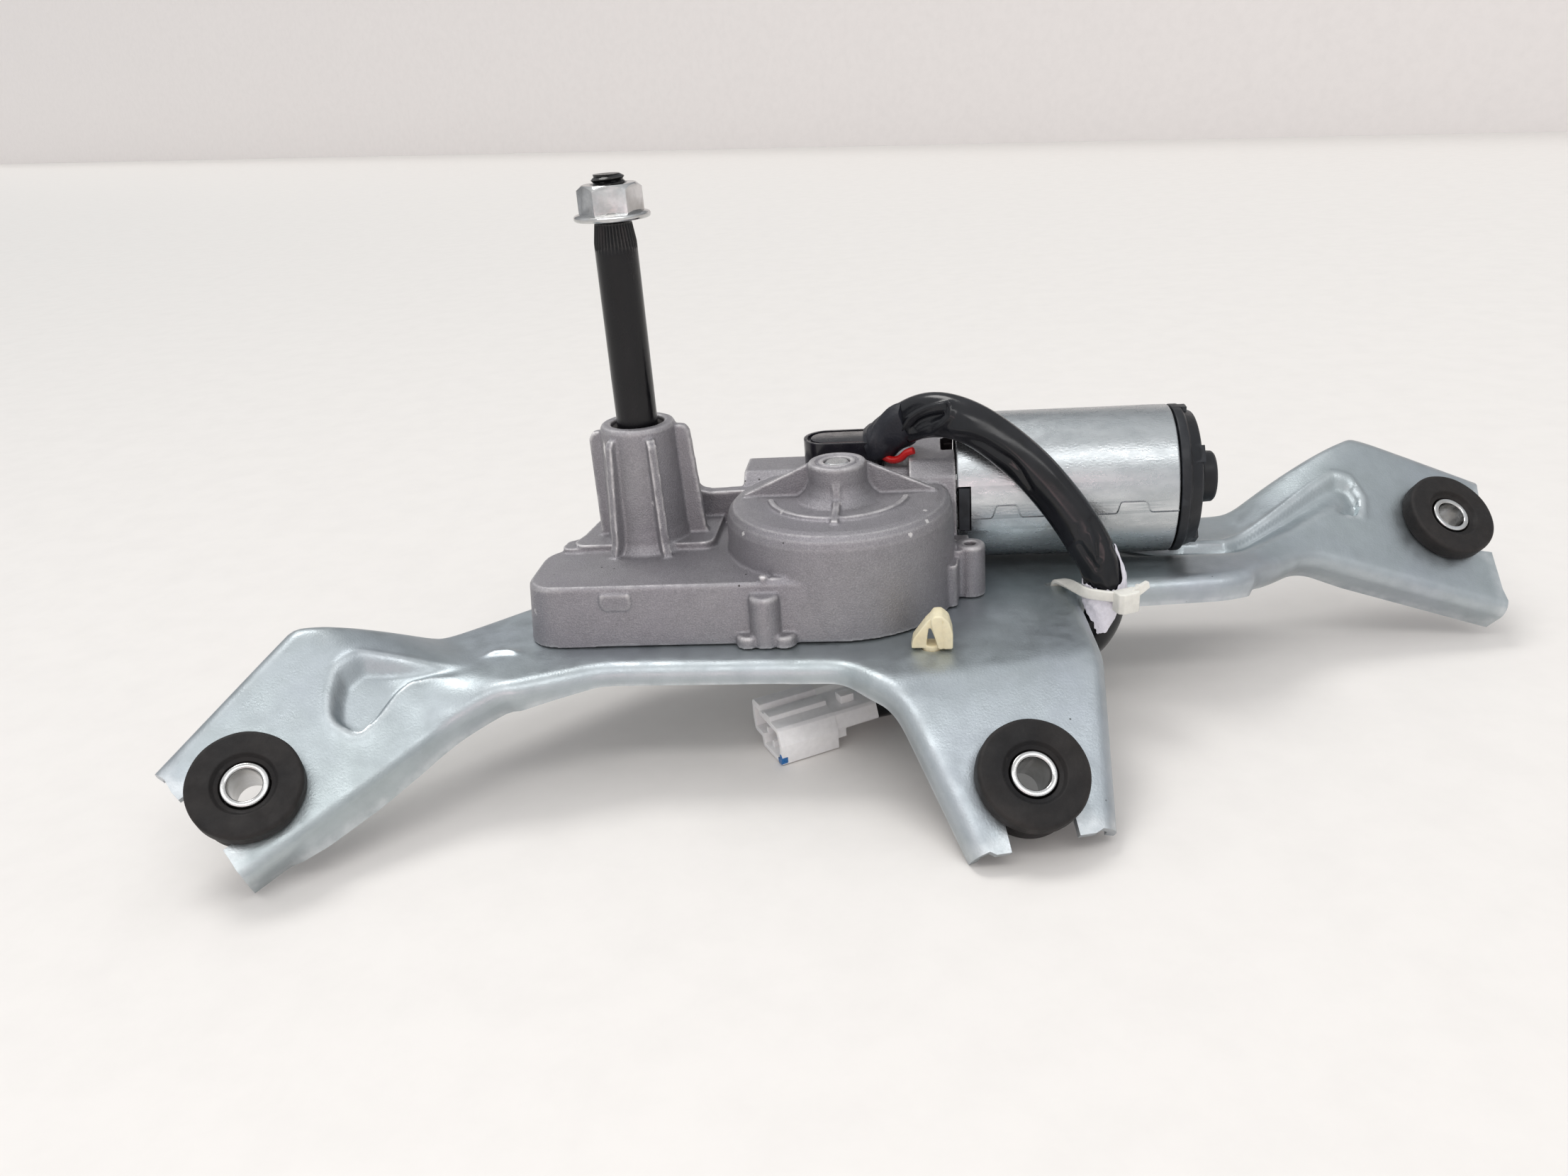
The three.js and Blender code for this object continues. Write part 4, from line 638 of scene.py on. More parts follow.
def rounded(corners, step, arc_step):
    n, cuts, out = len(corners), [], []
    for i in range(n):
        x, y, r, _ = corners[i]
        p = np.array([x, y]); a = np.array(corners[i - 1][:2]); b = np.array(corners[(i + 1) % n][:2])
        u, v = (a - p) / np.linalg.norm(a - p), (b - p) / np.linalg.norm(b - p)
        half = math.acos(max(-1, min(1, float(u @ v)))) / 2
        if r <= 0 or half > 1.55:
            cuts.append([p]); continue
        t = r / math.tan(half); s, e = p + u * t, p + v * t
        c = p + (u + v) / np.linalg.norm(u + v) * r / math.sin(half)
        a0, a1 = math.atan2(s[1] - c[1], s[0] - c[0]), math.atan2(e[1] - c[1], e[0] - c[0])
        while a1 - a0 > math.pi: a1 -= 2 * math.pi
        while a1 - a0 < -math.pi: a1 += 2 * math.pi
        k = max(1, round(abs(a1 - a0) * r / arc_step))
        cuts.append([c + r * np.array([math.cos(a0 + (a1 - a0) * j / k), math.sin(a0 + (a1 - a0) * j / k)]) for j in range(k + 1)])
    for i in range(n):
        c, f0, f1 = cuts[i], corners[i - 1][3], corners[i][3]
        for j, p in enumerate(c):
            out.append((p[0], p[1], (1 if f0 and f1 else 0) if j < len(c) - 1 else f1))
        q, p = cuts[(i + 1) % n][0], c[-1]
        k = max(1, round(np.linalg.norm(q - p) / step))
        for j in range(1, k):
            w = p + (q - p) * j / k
            if not f1 and ((f0 and np.linalg.norm(w - p) < 4.3) or (corners[(i + 1) % n][3] and np.linalg.norm(w - q) < 4.3)):
                continue    # room for the flange's own end
            out.append((w[0], w[1], f1))
    return out


def lerp(x, a0, a1, b0, b1):
    return b0 + (b1 - b0) * min(1, max(0, (x - a0) / (a1 - a0)))


def depth_at(x, y):
    if (x < -60 and y > -80 and x + 0.55 * y < -95) or (x < 176 and y > 0.42 * x - 16 and x < 60) or (x >= 60 and y > 30):
        return 5.2
    if x > 105 and -75 < y < -8:
        return 5.2
    if x > 100:
        return lerp(x, 150, 185, 5.4, 9.2)
    return lerp(x, -42, -4, 8.8, 4.8) if x < 20 else lerp(x, 52, 68, 4.8, 6.2)


def flange_depth(x, y, b):
    d = depth_at(x, y)
    if b > 0:
        d += (float(np.interp(x, [-72, -66, -57, -48, -38, -24], [5.4, 7.2, 9.2, 9.4, 8.2, 6.0])) - d) * b
    if x > 108 and y > -8 and d > 5.3:
        d = max(d, 6.4)
    return d


def make_bracket(step=1.7, arc_step=1.3, grid=1.7, arc_rows=6, bend=3.6, sheet=2.0):
    E = rounded(CORNERS, step, arc_step)
    n = len(E)
    ex, ey, ef = (np.array([e[k] for e in E]) for k in range(3))
    P = np.stack([ex, ey, skin_z(ex, ey)], axis=1)
    Nn = skin_n(ex, ey)
    unit = lambda v: v / max(1e-12, np.linalg.norm(v))
    top, nor, base, rows = [], [], [], []

    def add(v, u):
        top.append(np.array(v, float)); nor.append(np.array(u, float)); return len(top) - 1
    for i in range(n):
        b, a = ef[i - 1], ef[i]
        if not (b or a):
            base.append(add(P[i], Nn[i])); rows.append(None); continue
        t = np.zeros(3)
        if b: t += unit(P[i] - P[i - 1])
        if a: t += unit(P[(i + 1) % n] - P[i])
        m_ = unit(np.cross(unit(t), Nn[i]))
        ref = unit(np.cross(unit(P[i] - P[i - 1]), Nn[i])) if a and b else m_
        k = 1 / max(0.6, float(m_ @ ref))
        q = P[i] - m_ * bend * k
        q[2] = skin_z(q[0], q[1])[0]
        base.append(add(q, Nn[i]))
        r = []
        # the front flange of the left leg hangs straight down; the others stand square to the skin
        b = float(smooth(-22.0, -38.0, ex[i])) * float(smooth(-86.0, -80.0, ey[i]) if ex[i] < -60 else 1.0) * (1.0 if (-71 < ex[i] < -15 and ey[i] < 0.9 * ex[i] + 8) else 0.0)
        Nf = unit(sum(Nn[(i + j) % n] * w_ for j, w_ in zip(range(-6, 7), (1, 2, 3, 4, 5, 6, 6, 6, 5, 4, 3, 2, 1)) if ef[(i + j) % n]))
        D = unit(-Nf * (1 - b) + np.array([0, 0, -1.0]) * b)
        n_end = unit(m_ - D * (m_ @ D))
        theta = math.acos(max(-1, min(1, float(m_ @ D))))
        pos, seg = np.zeros(3), bend * theta / arc_rows
        stretch = lambda v: v + m_ * (v @ m_) * (k - 1)
        for j in range(1, arc_rows + 1):
            w0, w = theta * (j - 0.5) / arc_rows, theta * j / arc_rows
            pos = pos + (m_ * math.cos(w0) + unit(D - m_ * (m_ @ D)) * math.sin(w0)) * seg
            u_ = j / arc_rows
            r.append(add(q + stretch(pos), unit(Nn[i] * math.cos(math.pi / 2 * u_) + n_end * math.sin(math.pi / 2 * u_))))
        deep = flange_depth(ex[i], ey[i], b)
        for j in (0.5, 1.0):
            r.append(add(q + stretch(pos) + D * (deep - bend) * j, n_end))
        rows.append(r)
    loop = [(top[i][0], top[i][1]) for i in base]
    lx, ly = np.array([p[0] for p in loop]), np.array([p[1] for p in loop])
    gx, gy = [], []
    near_bead = lambda x, y: (np.abs(sdf(POCKET_L, x, y)) < 3.4) | (np.abs(sdf(CHANNEL_R, x, y)) < 2.8) | (np.hypot(x + 29, y + 33.6) < 6.5)
    for g, want in ((grid, False), (grid * 0.42, True)):
        for r, y in enumerate(np.arange(ly.min() + g / 2, ly.max(), g * 0.87)):
            xs = np.arange(lx.min() + (g / 2 if r % 2 else 0) + 0.013 * (r % 7), lx.max(), g)
            ys = np.full_like(xs, y)
            sel = near_bead(xs, ys) == want
            gx.append(xs[sel]); gy.append(ys[sel])
    gx, gy = np.concatenate(gx), np.concatenate(gy)
    d = sdf(loop, gx, gy)
    keep = d < -grid * 0.5
    gx, gy = gx[keep], gy[keep]
    gz, gn = skin_z(gx, gy), skin_n(gx, gy)
    ids = list(base)
    for k in range(len(gx)):
        ids.append(add((gx[k], gy[k], gz[k]), gn[k]))
    pts = [Vector(p) for p in loop] + [Vector((gx[k], gy[k])) for k in range(len(gx))]
    co2, _, tri, orig, _, _ = delaunay_2d_cdt(pts, [(i, (i + 1) % n) for i in range(n)], [], 1, 1e-6)
    faces = []
    for t in tri:
        f = [ids[orig[v][0]] for v in t if orig[v]]
        if len(f) < 3: continue
        a, b, c = (top[i] for i in f)
        ccw = (b[0] - a[0]) * (c[1] - a[1]) - (b[1] - a[1]) * (c[0] - a[0]) > 0
        faces.append(f if ccw else f[::-1])
    for i in range(n):
        if not ef[i]: continue
        j = (i + 1) % n
        A, B = [base[i], *rows[i]], [base[j], *rows[j]]
        for k in range(len(A) - 1):
            faces.append([A[k], A[k + 1], B[k + 1], B[k]])
    cnt = len(top)
    T, U = np.array(top), np.array(nor)
    verts = np.vstack([T, T - U * sheet])
    allf, open_ = [], {}
    for f in faces:
        allf.append(f); allf.append([v + cnt for v in f[::-1]])
        for k in range(len(f)):
            p, q = f[k], f[(k + 1) % len(f)]
            if (q, p) in open_: del open_[(q, p)]
            else: open_[(p, q)] = 1
    for p, q in open_:
        allf.append([p, p + cnt, q + cnt, q])
    return outward(mesh_obj("pressed_steel_bracket", verts, allf))


bracket = make_bracket()
cuts = [lathe("c", [(0, -4), (2.4, -4), (2.4, 2), (0, 2)], 24, at(*s)) for s in SCREWS]
cuts.append(lathe("c", [(0, -4), (2.7, -4), (2.7, 2), (0, 2)], 24, at(73.0, -34.5)))
cuts.append(prism("c", fillet([(101.8, -2.4), (107.0, -2.4), (107.0, -0.4), (101.8, -0.4)], 0.9, 4), -4, 2))
boolean(bracket, cuts, "DIFFERENCE")
me_ = bracket.data
lo_, hi_ = np.array(CAD_BOX[0]), np.array(CAD_BOX[1])
co_ = np.empty(len(me_.vertices) * 3); me_.vertices.foreach_get("co", co_)
me_.vertices.foreach_set("co", np.clip(co_.reshape(-1, 3), lo_ + 2e-5, hi_ - 2e-5).ravel())
done(bracket, "zinc", replaces=["mounting_bracket"], angle=40)

# ---------------------------------------------------------------- gear housing (one casting)
SX, SY = 2.6, -1.0
GX, GY = 51.3, -3.9
MY, MZ = 21.5, 19.4
LOW_CORNERS = [(-24, -32.4), (51.3, -32.2), (51.3, 13), (-13.5, 13), (-14.6, -0.6), (-24, -9)]
LOW_R = [8.5, 0, 0, 4, 5, 9]
low = fillet(LOW_CORNERS, LOW_R, 8)


def fin(az, r0, r1, zt, half=1.15, flare=3.2):
    a = math.radians(az)
    d, w = np.array([math.cos(a), math.sin(a), 0]), np.array([-math.sin(a), math.cos(a), 0])
    prof = [(0, 12), (r1 + flare, 12), (r1 + flare * 0.55, 14.6), (r1 + 0.6, 18.6), (r0 + 1.4, zt - 1.8), (r0 + 0.5, zt - 0.3), (r0 - 0.8, zt), (0, zt)]
    return prism("f", prof, -half, half, frame_of(d, [0, 0, 1], np.cross(d, [0, 0, 1]), [SX, SY, 0]))


def xz_plate(poly, yc, half, xc=0.0):
    """A plate drawn in X-Z and thick along Y."""
    return prism("w", poly, -half, half, frame_of([1, 0, 0], [0, 0, 1], [0, -1, 0], [xc, yc, 0]))


def yz_plate(poly, xc, x0_, x1_):
    return prism("w", poly, x0_, x1_, frame_of([0, 1, 0], [0, 0, 1], [1, 0, 0], [xc, 0, 0]))


h = prism("die_cast_gear_housing", low, 0.3, 14.6, top=offset_poly(low, 1.3))
parts = [prism("l", offset_poly(low, 1.3), 14.5, 15.2, top=offset_poly(low, 1.9))]
parts.append(xz_plate(fillet([(-4.2, 9.4), (3.1, 9.4), (3.1, 13.4), (-4.2, 13.4)], [3.4, 3.4, 0.5, 0.5], 5), -31.3, 0.52))
parts.append(lathe("n", [(0, 13), (1.15, 13), (1.05, 16.3), (0.8, 16.6), (0, 16.6)], 20, at(34.6, -29.6)))
parts.append(prism("n", [(35.2, -31.0), (47.5, -29.5), (37.0, -26.6)], 12.0, 15.9, top=[(35.6, -30.2), (46.0, -29.3), (37.0, -27.2)]))
parts.append(lathe("g", [(0, 0.3), (28.3, 0.3), (27.8, 22.9), (27.2, 24.6), (26.0, 25.8), (24.2, 26.2), (0, 26.2)], 96, at(GX, GY)))
parts.append(lathe("t", [(0, 11), (15.5, 11), (13.2, 14.4), (11.6, 15.6), (10.4, 17.6), (9.95, 21), (9.25, 45.6), (8.8, 46.4), (8.0, 46.6), (0, 46.6)], 64, at(SX, SY)))
for az, r0, r1, half, fl in [(176, 11.2, 12.0, 1.3, 2.2), (2, 11.3, 14.0, 1.3, 5.0), (-121, 9.9, 12.6, 1.05, 3.6), (-62, 9.9, 12.8, 1.05, 3.8), (60, 9.8, 13, 1.1, 3), (120, 9.8, 13, 1.1, 3)]:
    parts.append(fin(az, r0, r1, 44.4 if abs(az) > 100 or az < 0 else 45.4, half, fl))
# steps behind the tower and the web to the tunnel's end block
parts.append(prism("s", fillet([(-19.0, -9), (-8, -9), (-8, 11), (-13.4, 11), (-14.6, -1), (-18.6, -3.6)], 2.0, 4), 0.3, 16.4))
parts.append(prism("s", fillet([(-16.8, -9), (20, -9), (20, 12.6), (-12.8, 12.6), (-14.6, -1)], 3, 4), 0.3, 17.2))
parts.append(xz_plate([(4, 0.3), (30, 0.3), (30, 24.6), (26, 24.0), (17, 23.8), (14.6, 24.4), (12.6, 27.0), (4, 30)], 11.6, 2.0))
tun = fillet([(-9, 0), (9, 0), (9, 5), (5.6, 7.8), (-5.6, 7.8), (-9, 5)], 1.6, 3)
parts.append(prism("u", tun, 0, 47, frame_of([0, 1, 0], [0, 0, 1], [1, 0, 0], [25.4, MY, MZ])))
parts.append(block("u", (25.4, 11.0, 0.3), (70.4, 31.0, MZ + 0.6)))
fl = fillet([(2.6, 0.3), (40.2, 0.3), (40.2, 25), (35, 30.8), (9, 30.8), (4.2, 27.6), (2.6, 22)], [0, 0, 2, 4, 4, 2, 2], 4)
parts.append(yz_plate(fl, 68.5, 0, 11.6))
parts.append(yz_plate(fillet([(5, 0.3), (36, 0.3), (36, 23), (31, 28), (12, 28), (6, 22)], 2, 3), 62.0, 0, 8))
# gear-pin boss, its webs and the arc rib
parts.append(lathe("b", [(0, 25), (12.0, 25), (9.6, 26.6), (8.2, 27.8), (7.3, 29.6), (7.1, 30.6), (7.1, 34.9), (6.8, 35.4), (6.2, 35.5), (0, 35.5)], 64, at(GX, GY)))
parts.append(xz_plate([(-24, 25.4), (24, 25.4), (24, 26.7), (7.0, 34.4), (-7.0, 34.4), (-24, 26.7)], GY + 2.4, 0.85, GX))
d = np.array([0, -1, 0])
parts.append(prism("r", [(0, 25.4), (19.6, 25.4), (19.6, 27.0), (8.2, 28.0), (6.8, 33.6), (0, 33.6)], -0.85, 0.85, frame_of(d, [0, 0, 1], np.cross(d, [0, 0, 1]), [GX, GY, 0])))
arc = [(17.4 * math.cos(math.radians(a)), 17.4 * math.sin(math.radians(a))) for a in np.linspace(-172, -8, 28)]
arc += [(16.0 * math.cos(math.radians(a)), 16.0 * math.sin(math.radians(a))) for a in np.linspace(-8, -172, 28)]
parts.append(prism("a", arc, 25.4, 27.1, at(GX, GY)))
# lugs, ears, ledge
parts.append(lathe("k", [(0, 0.3), (3.7, 0.3), (3.5, 12.2), (3.0, 12.7), (0, 12.7)], 40, at(34.7, -31.6)))
for dx in (-4.2, 4.2):
    parts.append(lathe("k", [(0, 0.3), (3.0, 0.3), (2.9, 2.6), (2.4, 3.1), (0, 3.1)], 32, at(34.7 + dx, -32.2)))
parts.append(lathe("k", [(0, 0.3), (3.8, 0.3), (3.7, 12.9), (3.2, 13.5), (0, 13.5)], 40, at(83.0, -5.2)))
parts.append(block("k", (74, -8.6, 0.3), (83.0, 2.6, 12.6)))
# stiffening flats on the big drum's right flank
parts.append(prism("k", fillet([(70, -16), (79.6, -14), (80.6, -4), (78, 6), (70, 8)], 1.5, 3), 0.3, 11.0))
for p in (h, *parts):
    outward(p)
boolean(h, parts, "UNION")
# inside: the linkage space, the gear chamber, the worm bore and the bearing seats
low_in = offset_poly(low, 4.4)
cave = prism("cave", low_in, -1, 12.1)
chamber = lathe("ch", [(0, -1), (25.2, -1), (25.2, 23.6), (0, 23.6)], 72, at(GX, GY))
boolean(cave, [chamber], "UNION")
keeps = [lathe("k", [(0, -2), (4.2, -2), (4.2, 13), (0, 13)], 24, at(*s)) for s in SCREWS]
keeps.append(lathe("k", [(3.3, 12.2), (6.6, 12.2), (6.6, 12.6), (6.6, 14.9), (6.6, 24.5), (3.3, 24.5)], 32, at(GX, GY)))
keeps[-1], _old = lathe("k", [(3.3, 23.2), (6.6, 23.2), (6.6, 24.5), (3.3, 24.5)], 32, at(GX, GY)), keeps[-1]
kill(_old)
boolean(cave, keeps, "DIFFERENCE")
tools = [cave,
         lathe("x", [(0, 27), (6.1, 27), (6.1, 66), (0, 66)], 40, along_x(0, MY, MZ)),
         lathe("x", [(0, 65.9), (7.4, 65.9), (7.4, 76.9), (0, 76.9)], 40, along_x(0, MY, MZ)),
         lathe("x", [(0, 76.8), (12.5, 76.8), (12.5, 81), (0, 81)], 48, along_x(0, MY, MZ)),
         lathe("x", [(0, 5), (6.6, 5), (6.6, 60), (0, 60)], 48, at(SX, SY)),
         lathe("x", [(0, 10), (3.3, 10), (3.3, 60), (0, 60)], 40, at(GX, GY)),
         lathe("x", [(4.5, 34.8), (5.4, 34.8), (5.4, 37), (4.5, 37)], 48, at(GX, GY)),
         lathe("x", [(0, 10.4), (1.5, 10.4), (1.5, 15), (0, 15)], 24, at(83.0, -5.2))]
tools += [lathe("x", [(0, -1), (2.1, -1), (2.1, 10.6), (0, 10.6)], 20, at(*s)) for s in SCREWS]
for t in tools:
    outward(t)
boolean(h, tools, "DIFFERENCE")
cast_skin(h, voxel=0.38, smooth=2, ratio=0.36, factor=0.5)
done(h, "cast", replaces=["gear_housing"], angle=None)

# ---------------------------------------------------------------- output shaft and nut
def shaft_mesh():
    n, verts, faces = 144, [], []
    zs = list(np.arange(6.2, 85, 3.0)) + list(np.arange(85, 94.2, 0.35)) + list(np.arange(94.2, 104.51, 0.16))
    base_r = [(6.2, 4.5), (6.8, 5.0), (86.0, 5.0), (89.4, 4.96), (93.7, 4.35), (94.2, 3.95), (103.6, 3.95), (104.5, 3.3)]
    zz, rr = zip(*base_r)
    for z in zs:
        r0 = np.interp(z, zz, rr)
        for i in range(n):
            a = 2 * math.pi * i / n
            r = r0
            if 87.2 < z < 93.7:       # serrations on the tapered seat
                r -= 0.26 * min(1, (z - 87.2) / 1.6) * (0.5 - 0.5 * math.cos(36 * a))
            if z > 94.4:              # M8 thread
                t = (z / 1.25 - i / n) % 1.0
                r -= 0.62 * (1 - abs(2 * t - 1)) * min(1, (z - 94.4) / 0.6)
            if 50.1 < z < 50.9 or 61.8 < z < 62.3:
                r -= 0.03
            verts.append((r * math.cos(a), r * math.sin(a), z))
    for k in range(len(zs) - 1):
        for i in range(n):
            j = (i + 1) % n
            faces.append([k * n + i, k * n + j, (k + 1) * n + j, (k + 1) * n + i])
    faces.append(list(range(n))[::-1]); faces.append([(len(zs) - 1) * n + i for i in range(n)])
    return outward(mesh_obj("serrated_output_shaft", verts, faces, local=at(SX, SY)))


done(shaft_mesh(), "shaft", "output", ["output_shaft"], angle=28)
hexr = 13.0 / 2 / math.cos(math.pi / 6)
nut = prism("zinc_flange_nut", [(hexr * math.cos(math.radians(60 * i + 12)), hexr * math.sin(math.radians(60 * i + 12))) for i in range(6)], 95.4, 102.3, at(SX, SY))
cone = lathe("c", [(0, 94.0), (7.9, 94.0), (7.9, 100.9), (6.2, 102.3), (0, 102.3)], 72, at(SX, SY))
boolean(nut, [cone], "INTERSECT")
flange = lathe("c", [(0, 94.5), (8.35, 94.5), (8.7, 94.62), (8.88, 94.95), (8.88, 95.4), (8.7, 95.7), (8.3, 95.88), (7.5, 96.05), (6.6, 96.4), (0, 96.4)], 72, at(SX, SY))
boolean(nut, [flange], "UNION")
boolean(nut, [lathe("c", [(0, 90), (4.25, 90), (4.25, 106), (0, 106)], 48, at(SX, SY))], "DIFFERENCE")
bevel(nut, 0.28, 3, 25)
done(nut, "nut", "output", ["flange_nut"], angle=30)

# ---------------------------------------------------------------- motor
def yoke_mesh():
    y = lathe("motor_can", fillet([(17.5, 80.4), (18.9, 80.4), (18.9, 134.5), (17.5, 134.5)], [0, 0.5, 0.7, 0], 4), 144, along_x(0, MY, MZ))
    seam = [(78, -171.4), (88.9, -171.6), (89.9, 178.2), (95.0, 178.0), (96.1, -172.0), (119.4, -172.3), (120.2, 178.4), (126.4, 178.2), (127.6, -172.8), (137, -173.0)]
    pts = []
    for (xa, aa), (xb, ab) in zip(seam, seam[1:]):
        aa, ab = aa % 360, ab % 360
        k = max(2, int(np.hypot(xb - xa, (ab - aa) * 0.33) / 0.4))
        for t in np.linspace(0, 1, k, endpoint=False):
            pts.append((xa + (xb - xa) * t, aa + (ab - aa) * t))
    pts.append((seam[-1][0], seam[-1][1] % 360))
    pts = np.array(pts)
    ker = np.array([1, 2, 1]) / 4
    for _ in range(2):
        pts[1:-1] = np.stack([np.convolve(pts[:, k], ker, "valid") for k in range(2)], axis=1)
    verts, faces = [], []
    for i, (x, a) in enumerate(pts):
        q = pts[min(i + 1, len(pts) - 1)] - pts[max(i - 1, 0)]
        tx, ta = q[0], math.radians(q[1]) * 18.9
        l = math.hypot(tx, ta) or 1
        nx, na = -ta / l * 0.21, tx / l * 0.21 / 18.9
        for sgn in (-1, 1):
            for r in (18.35, 19.3):
                w = math.radians(a) + sgn * na
                verts.append((x + sgn * nx, MY + r * math.cos(w), MZ + r * math.sin(w)))
    for i in range(len(pts) - 1):
        a, b = i * 4, i * 4 + 4
        for f in ((0, 1, 3, 2),):
            c = [a + k for k in f]; d_ = [b + k for k in f]
            for k in range(4):
                faces.append([c[k], c[(k + 1) % 4], d_[(k + 1) % 4], d_[k]])
    faces.append([0, 1, 3, 2][::-1]); e = (len(pts) - 1) * 4; faces.append([e, e + 1, e + 3, e + 2])
    groove = outward(mesh_obj("g", verts, faces))
    win = block("w", (79, -1, 13.2), (83.8, 8, 25.0))
    q = math.radians(76)
    hole = block("w", (17.0, -1.0, 127.6), (20.0, 1.0, 131.4), frame_of([0, math.cos(q), math.sin(q)], [0, -math.sin(q), math.cos(q)], [1, 0, 0], [0, MY, MZ]))
    boolean(y, [win, groove, hole], "DIFFERENCE")
    return y


done(yoke_mesh(), "can", replaces=["motor_yoke"], angle=28)
cap_prof = fillet([(0, 134.8), (18.9, 134.8), (18.9, 136.9), (17.9, 137.5), (16.9, 140.2), (12.2, 141.3), (7.6, 142.0), (6.7, 142.8), (6.5, 145.6), (5.9, 146.2), (0, 146.2)],
                  [0, 0.3, 0.6, 0.5, 0.8, 0.6, 0.5, 0.4, 0.5, 0.4, 0], 3)
ec = lathe("motor_end_cap_shell", cap_prof, 96, along_x(0, MY, MZ))
ribs = []
for a in range(0, 360, 90):
    w = math.radians(a + 52)
    dr, tg = np.array([0, math.cos(w), math.sin(w)]), np.array([0, -math.sin(w), math.cos(w)])
    ribs.append(block("r", (8.0, -2.2, 137), (17.0, 2.2, 140.9), frame_of(dr, tg, [1, 0, 0], [0, MY, MZ])))
q_ = math.radians(88)
ribs.append(block("r", (15.0, -1.6, 134.9), (18.85, 1.6, 138.4), frame_of([0, math.cos(q_), math.sin(q_)], [0, -math.sin(q_), math.cos(q_)], [1, 0, 0], [0, MY, MZ])))
spig = lathe("s", [(12.0, 132.6), (17.0, 132.6), (17.0, 135), (12.0, 135)], 72, along_x(0, MY, MZ))
boolean(ec, [*ribs, spig], "UNION")
boolean(ec, [lathe("x", [(0, 134), (6.3, 134), (6.3, 138.4), (0, 138.4)], 40, along_x(0, MY, MZ)),
             lathe("x", [(0, 145.2), (2.6, 145.2), (2.6, 148), (0, 148)], 32, along_x(0, MY, MZ))], "DIFFERENCE")
bevel(ec, 0.25, 2, 30)
done(ec, "blackp", replaces=["motor_end_cap"], angle=30)

# ---------------------------------------------------------------- terminal cap, boot and red lead
capo = fillet([(41.4, 12.4), (61.6, 12.4), (61.6, 25.4), (41.4, 25.4)], [6.2, 3.5, 3.5, 6.2], 10)
tc = prism("terminal_cap_shell", capo, 27.5, 34.6)
rim = prism("r", offset_poly(capo, 0.9), 33.9, 36, top=offset_poly(capo, 0.9))
inner = prism("r", offset_poly(capo, 1.7), 33.5, 34.55, top=offset_poly(capo, 1.9))
boolean(tc, [rim], "DIFFERENCE")
boolean(tc, [inner], "UNION")
bevel(tc, 0.35, 3, 30)
done(tc, "cap", replaces=["terminal_cap"], angle=35)


def boot_mesh():
    secs = [((57.6, 18.6, 32.2), 6.6, 3.6, 0.10), ((59.4, 18.6, 32.6), 7.2, 4.6, 0.30), ((62.0, 18.3, 33.6), 7.0, 5.1, 0.55), ((64.6, 17.6, 35.6), 6.3, 5.3, 0.75), ((67.6, 16.3, 38.2), 5.5, 5.5, 0.85), ((69.4, 15.4, 39.2), 4.9, 5.0, 0.9)]
    P = np.array([[*c, w, hh, k] for c, w, hh, k in secs])
    C, _ = catmull(P, 40)
    verts, faces, n = [], [], 48
    T = np.gradient(C[:, :3], axis=0); T /= np.linalg.norm(T, axis=1)[:, None]
    for k in range(len(C)):
        side = np.cross([0, 0, 1.0], T[k]); side /= np.linalg.norm(side)
        up = np.cross(T[k], side)
        for i in range(n):
            a = 2 * math.pi * i / n
            q = 1 + 0.035 * math.sin(7 * a + k * 0.22) - 0.05 * math.exp(-((k - 20) / 4) ** 2) * (1 if math.sin(a) < 0 else 0)
            e = 0.85
            ca, sa = math.cos(a), math.sin(a)
            verts.append(C[k, :3] + side * C[k, 3] * abs(ca) ** e * math.copysign(1, ca) * q + up * C[k, 4] * abs(sa) ** e * math.copysign(1, sa) * q)
    for k in range(len(C) - 1):
        for i in range(n):
            j = (i + 1) % n
            faces.append([k * n + i, k * n + j, (k + 1) * n + j, (k + 1) * n + i])
    faces.append(list(range(n))[::-1]); faces.append([(len(C) - 1) * n + i for i in range(n)])
    return outward(mesh_obj("sleeve_mouth", verts, faces))


boot = done(boot_mesh(), "boot", angle=60)
lead, _ = catmull([[61.95, 14.0, 30.4], [64.2, 12.8, 29.7], [66.2, 12.0, 30.2], [68.1, 11.4, 31.9], [69.8, 10.9, 32.6]], 40)
done(tube("red_motor_lead", lead, lambda s, a, f: 0.95, 20), "red", replaces=["motor_lead_red"], angle=60)

# ---------------------------------------------------------------- grommets and bushings
for k, (side, (c, nrm, dd)) in enumerate(SEATS.items()):
    dd = dd - nrm * (nrm @ dd); dd /= np.linalg.norm(dd)
    loc = frame_of(dd, np.cross(nrm, dd), nrm, c)
    prof = fillet([(5.3, -11.4), (11.2, -11.4), (11.2, -7.3), (7.2, -7.3), (7.2, -4.7), (12.0, -4.7), (12.0, 0.0), (6.9, 0.0), (6.2, -0.9), (5.3, -1.2)],
                  [0.4, 0.9, 0.6, 0, 0, 0.8, 0.95, 0.5, 0.4, 0.3], 4)
    prof = [p for p in prof]
    # a slight waviness in the moulding
    wob = lambda a, r, z, k=k: 0.05 * math.sin(3 * a + k) * (r / 12) + 0.03 * math.sin(8 * a + 2 * k) * (r / 12)
    done(lathe(f"rubber_grommet_{side}", prof, 96, loc, wob), "rubber", replaces=[f"grommet_{side}"], angle=40)
    bp = fillet([(3.6, -12.6), (5.0, -12.6), (5.0, -0.7), (3.6, -0.7)], [0.35, 0.35, 0.45, 0.45], 4)
    done(lathe(f"steel_bushing_{side}", bp, 72, loc), "nut", replaces=[f"bushing_{side}"], angle=40)

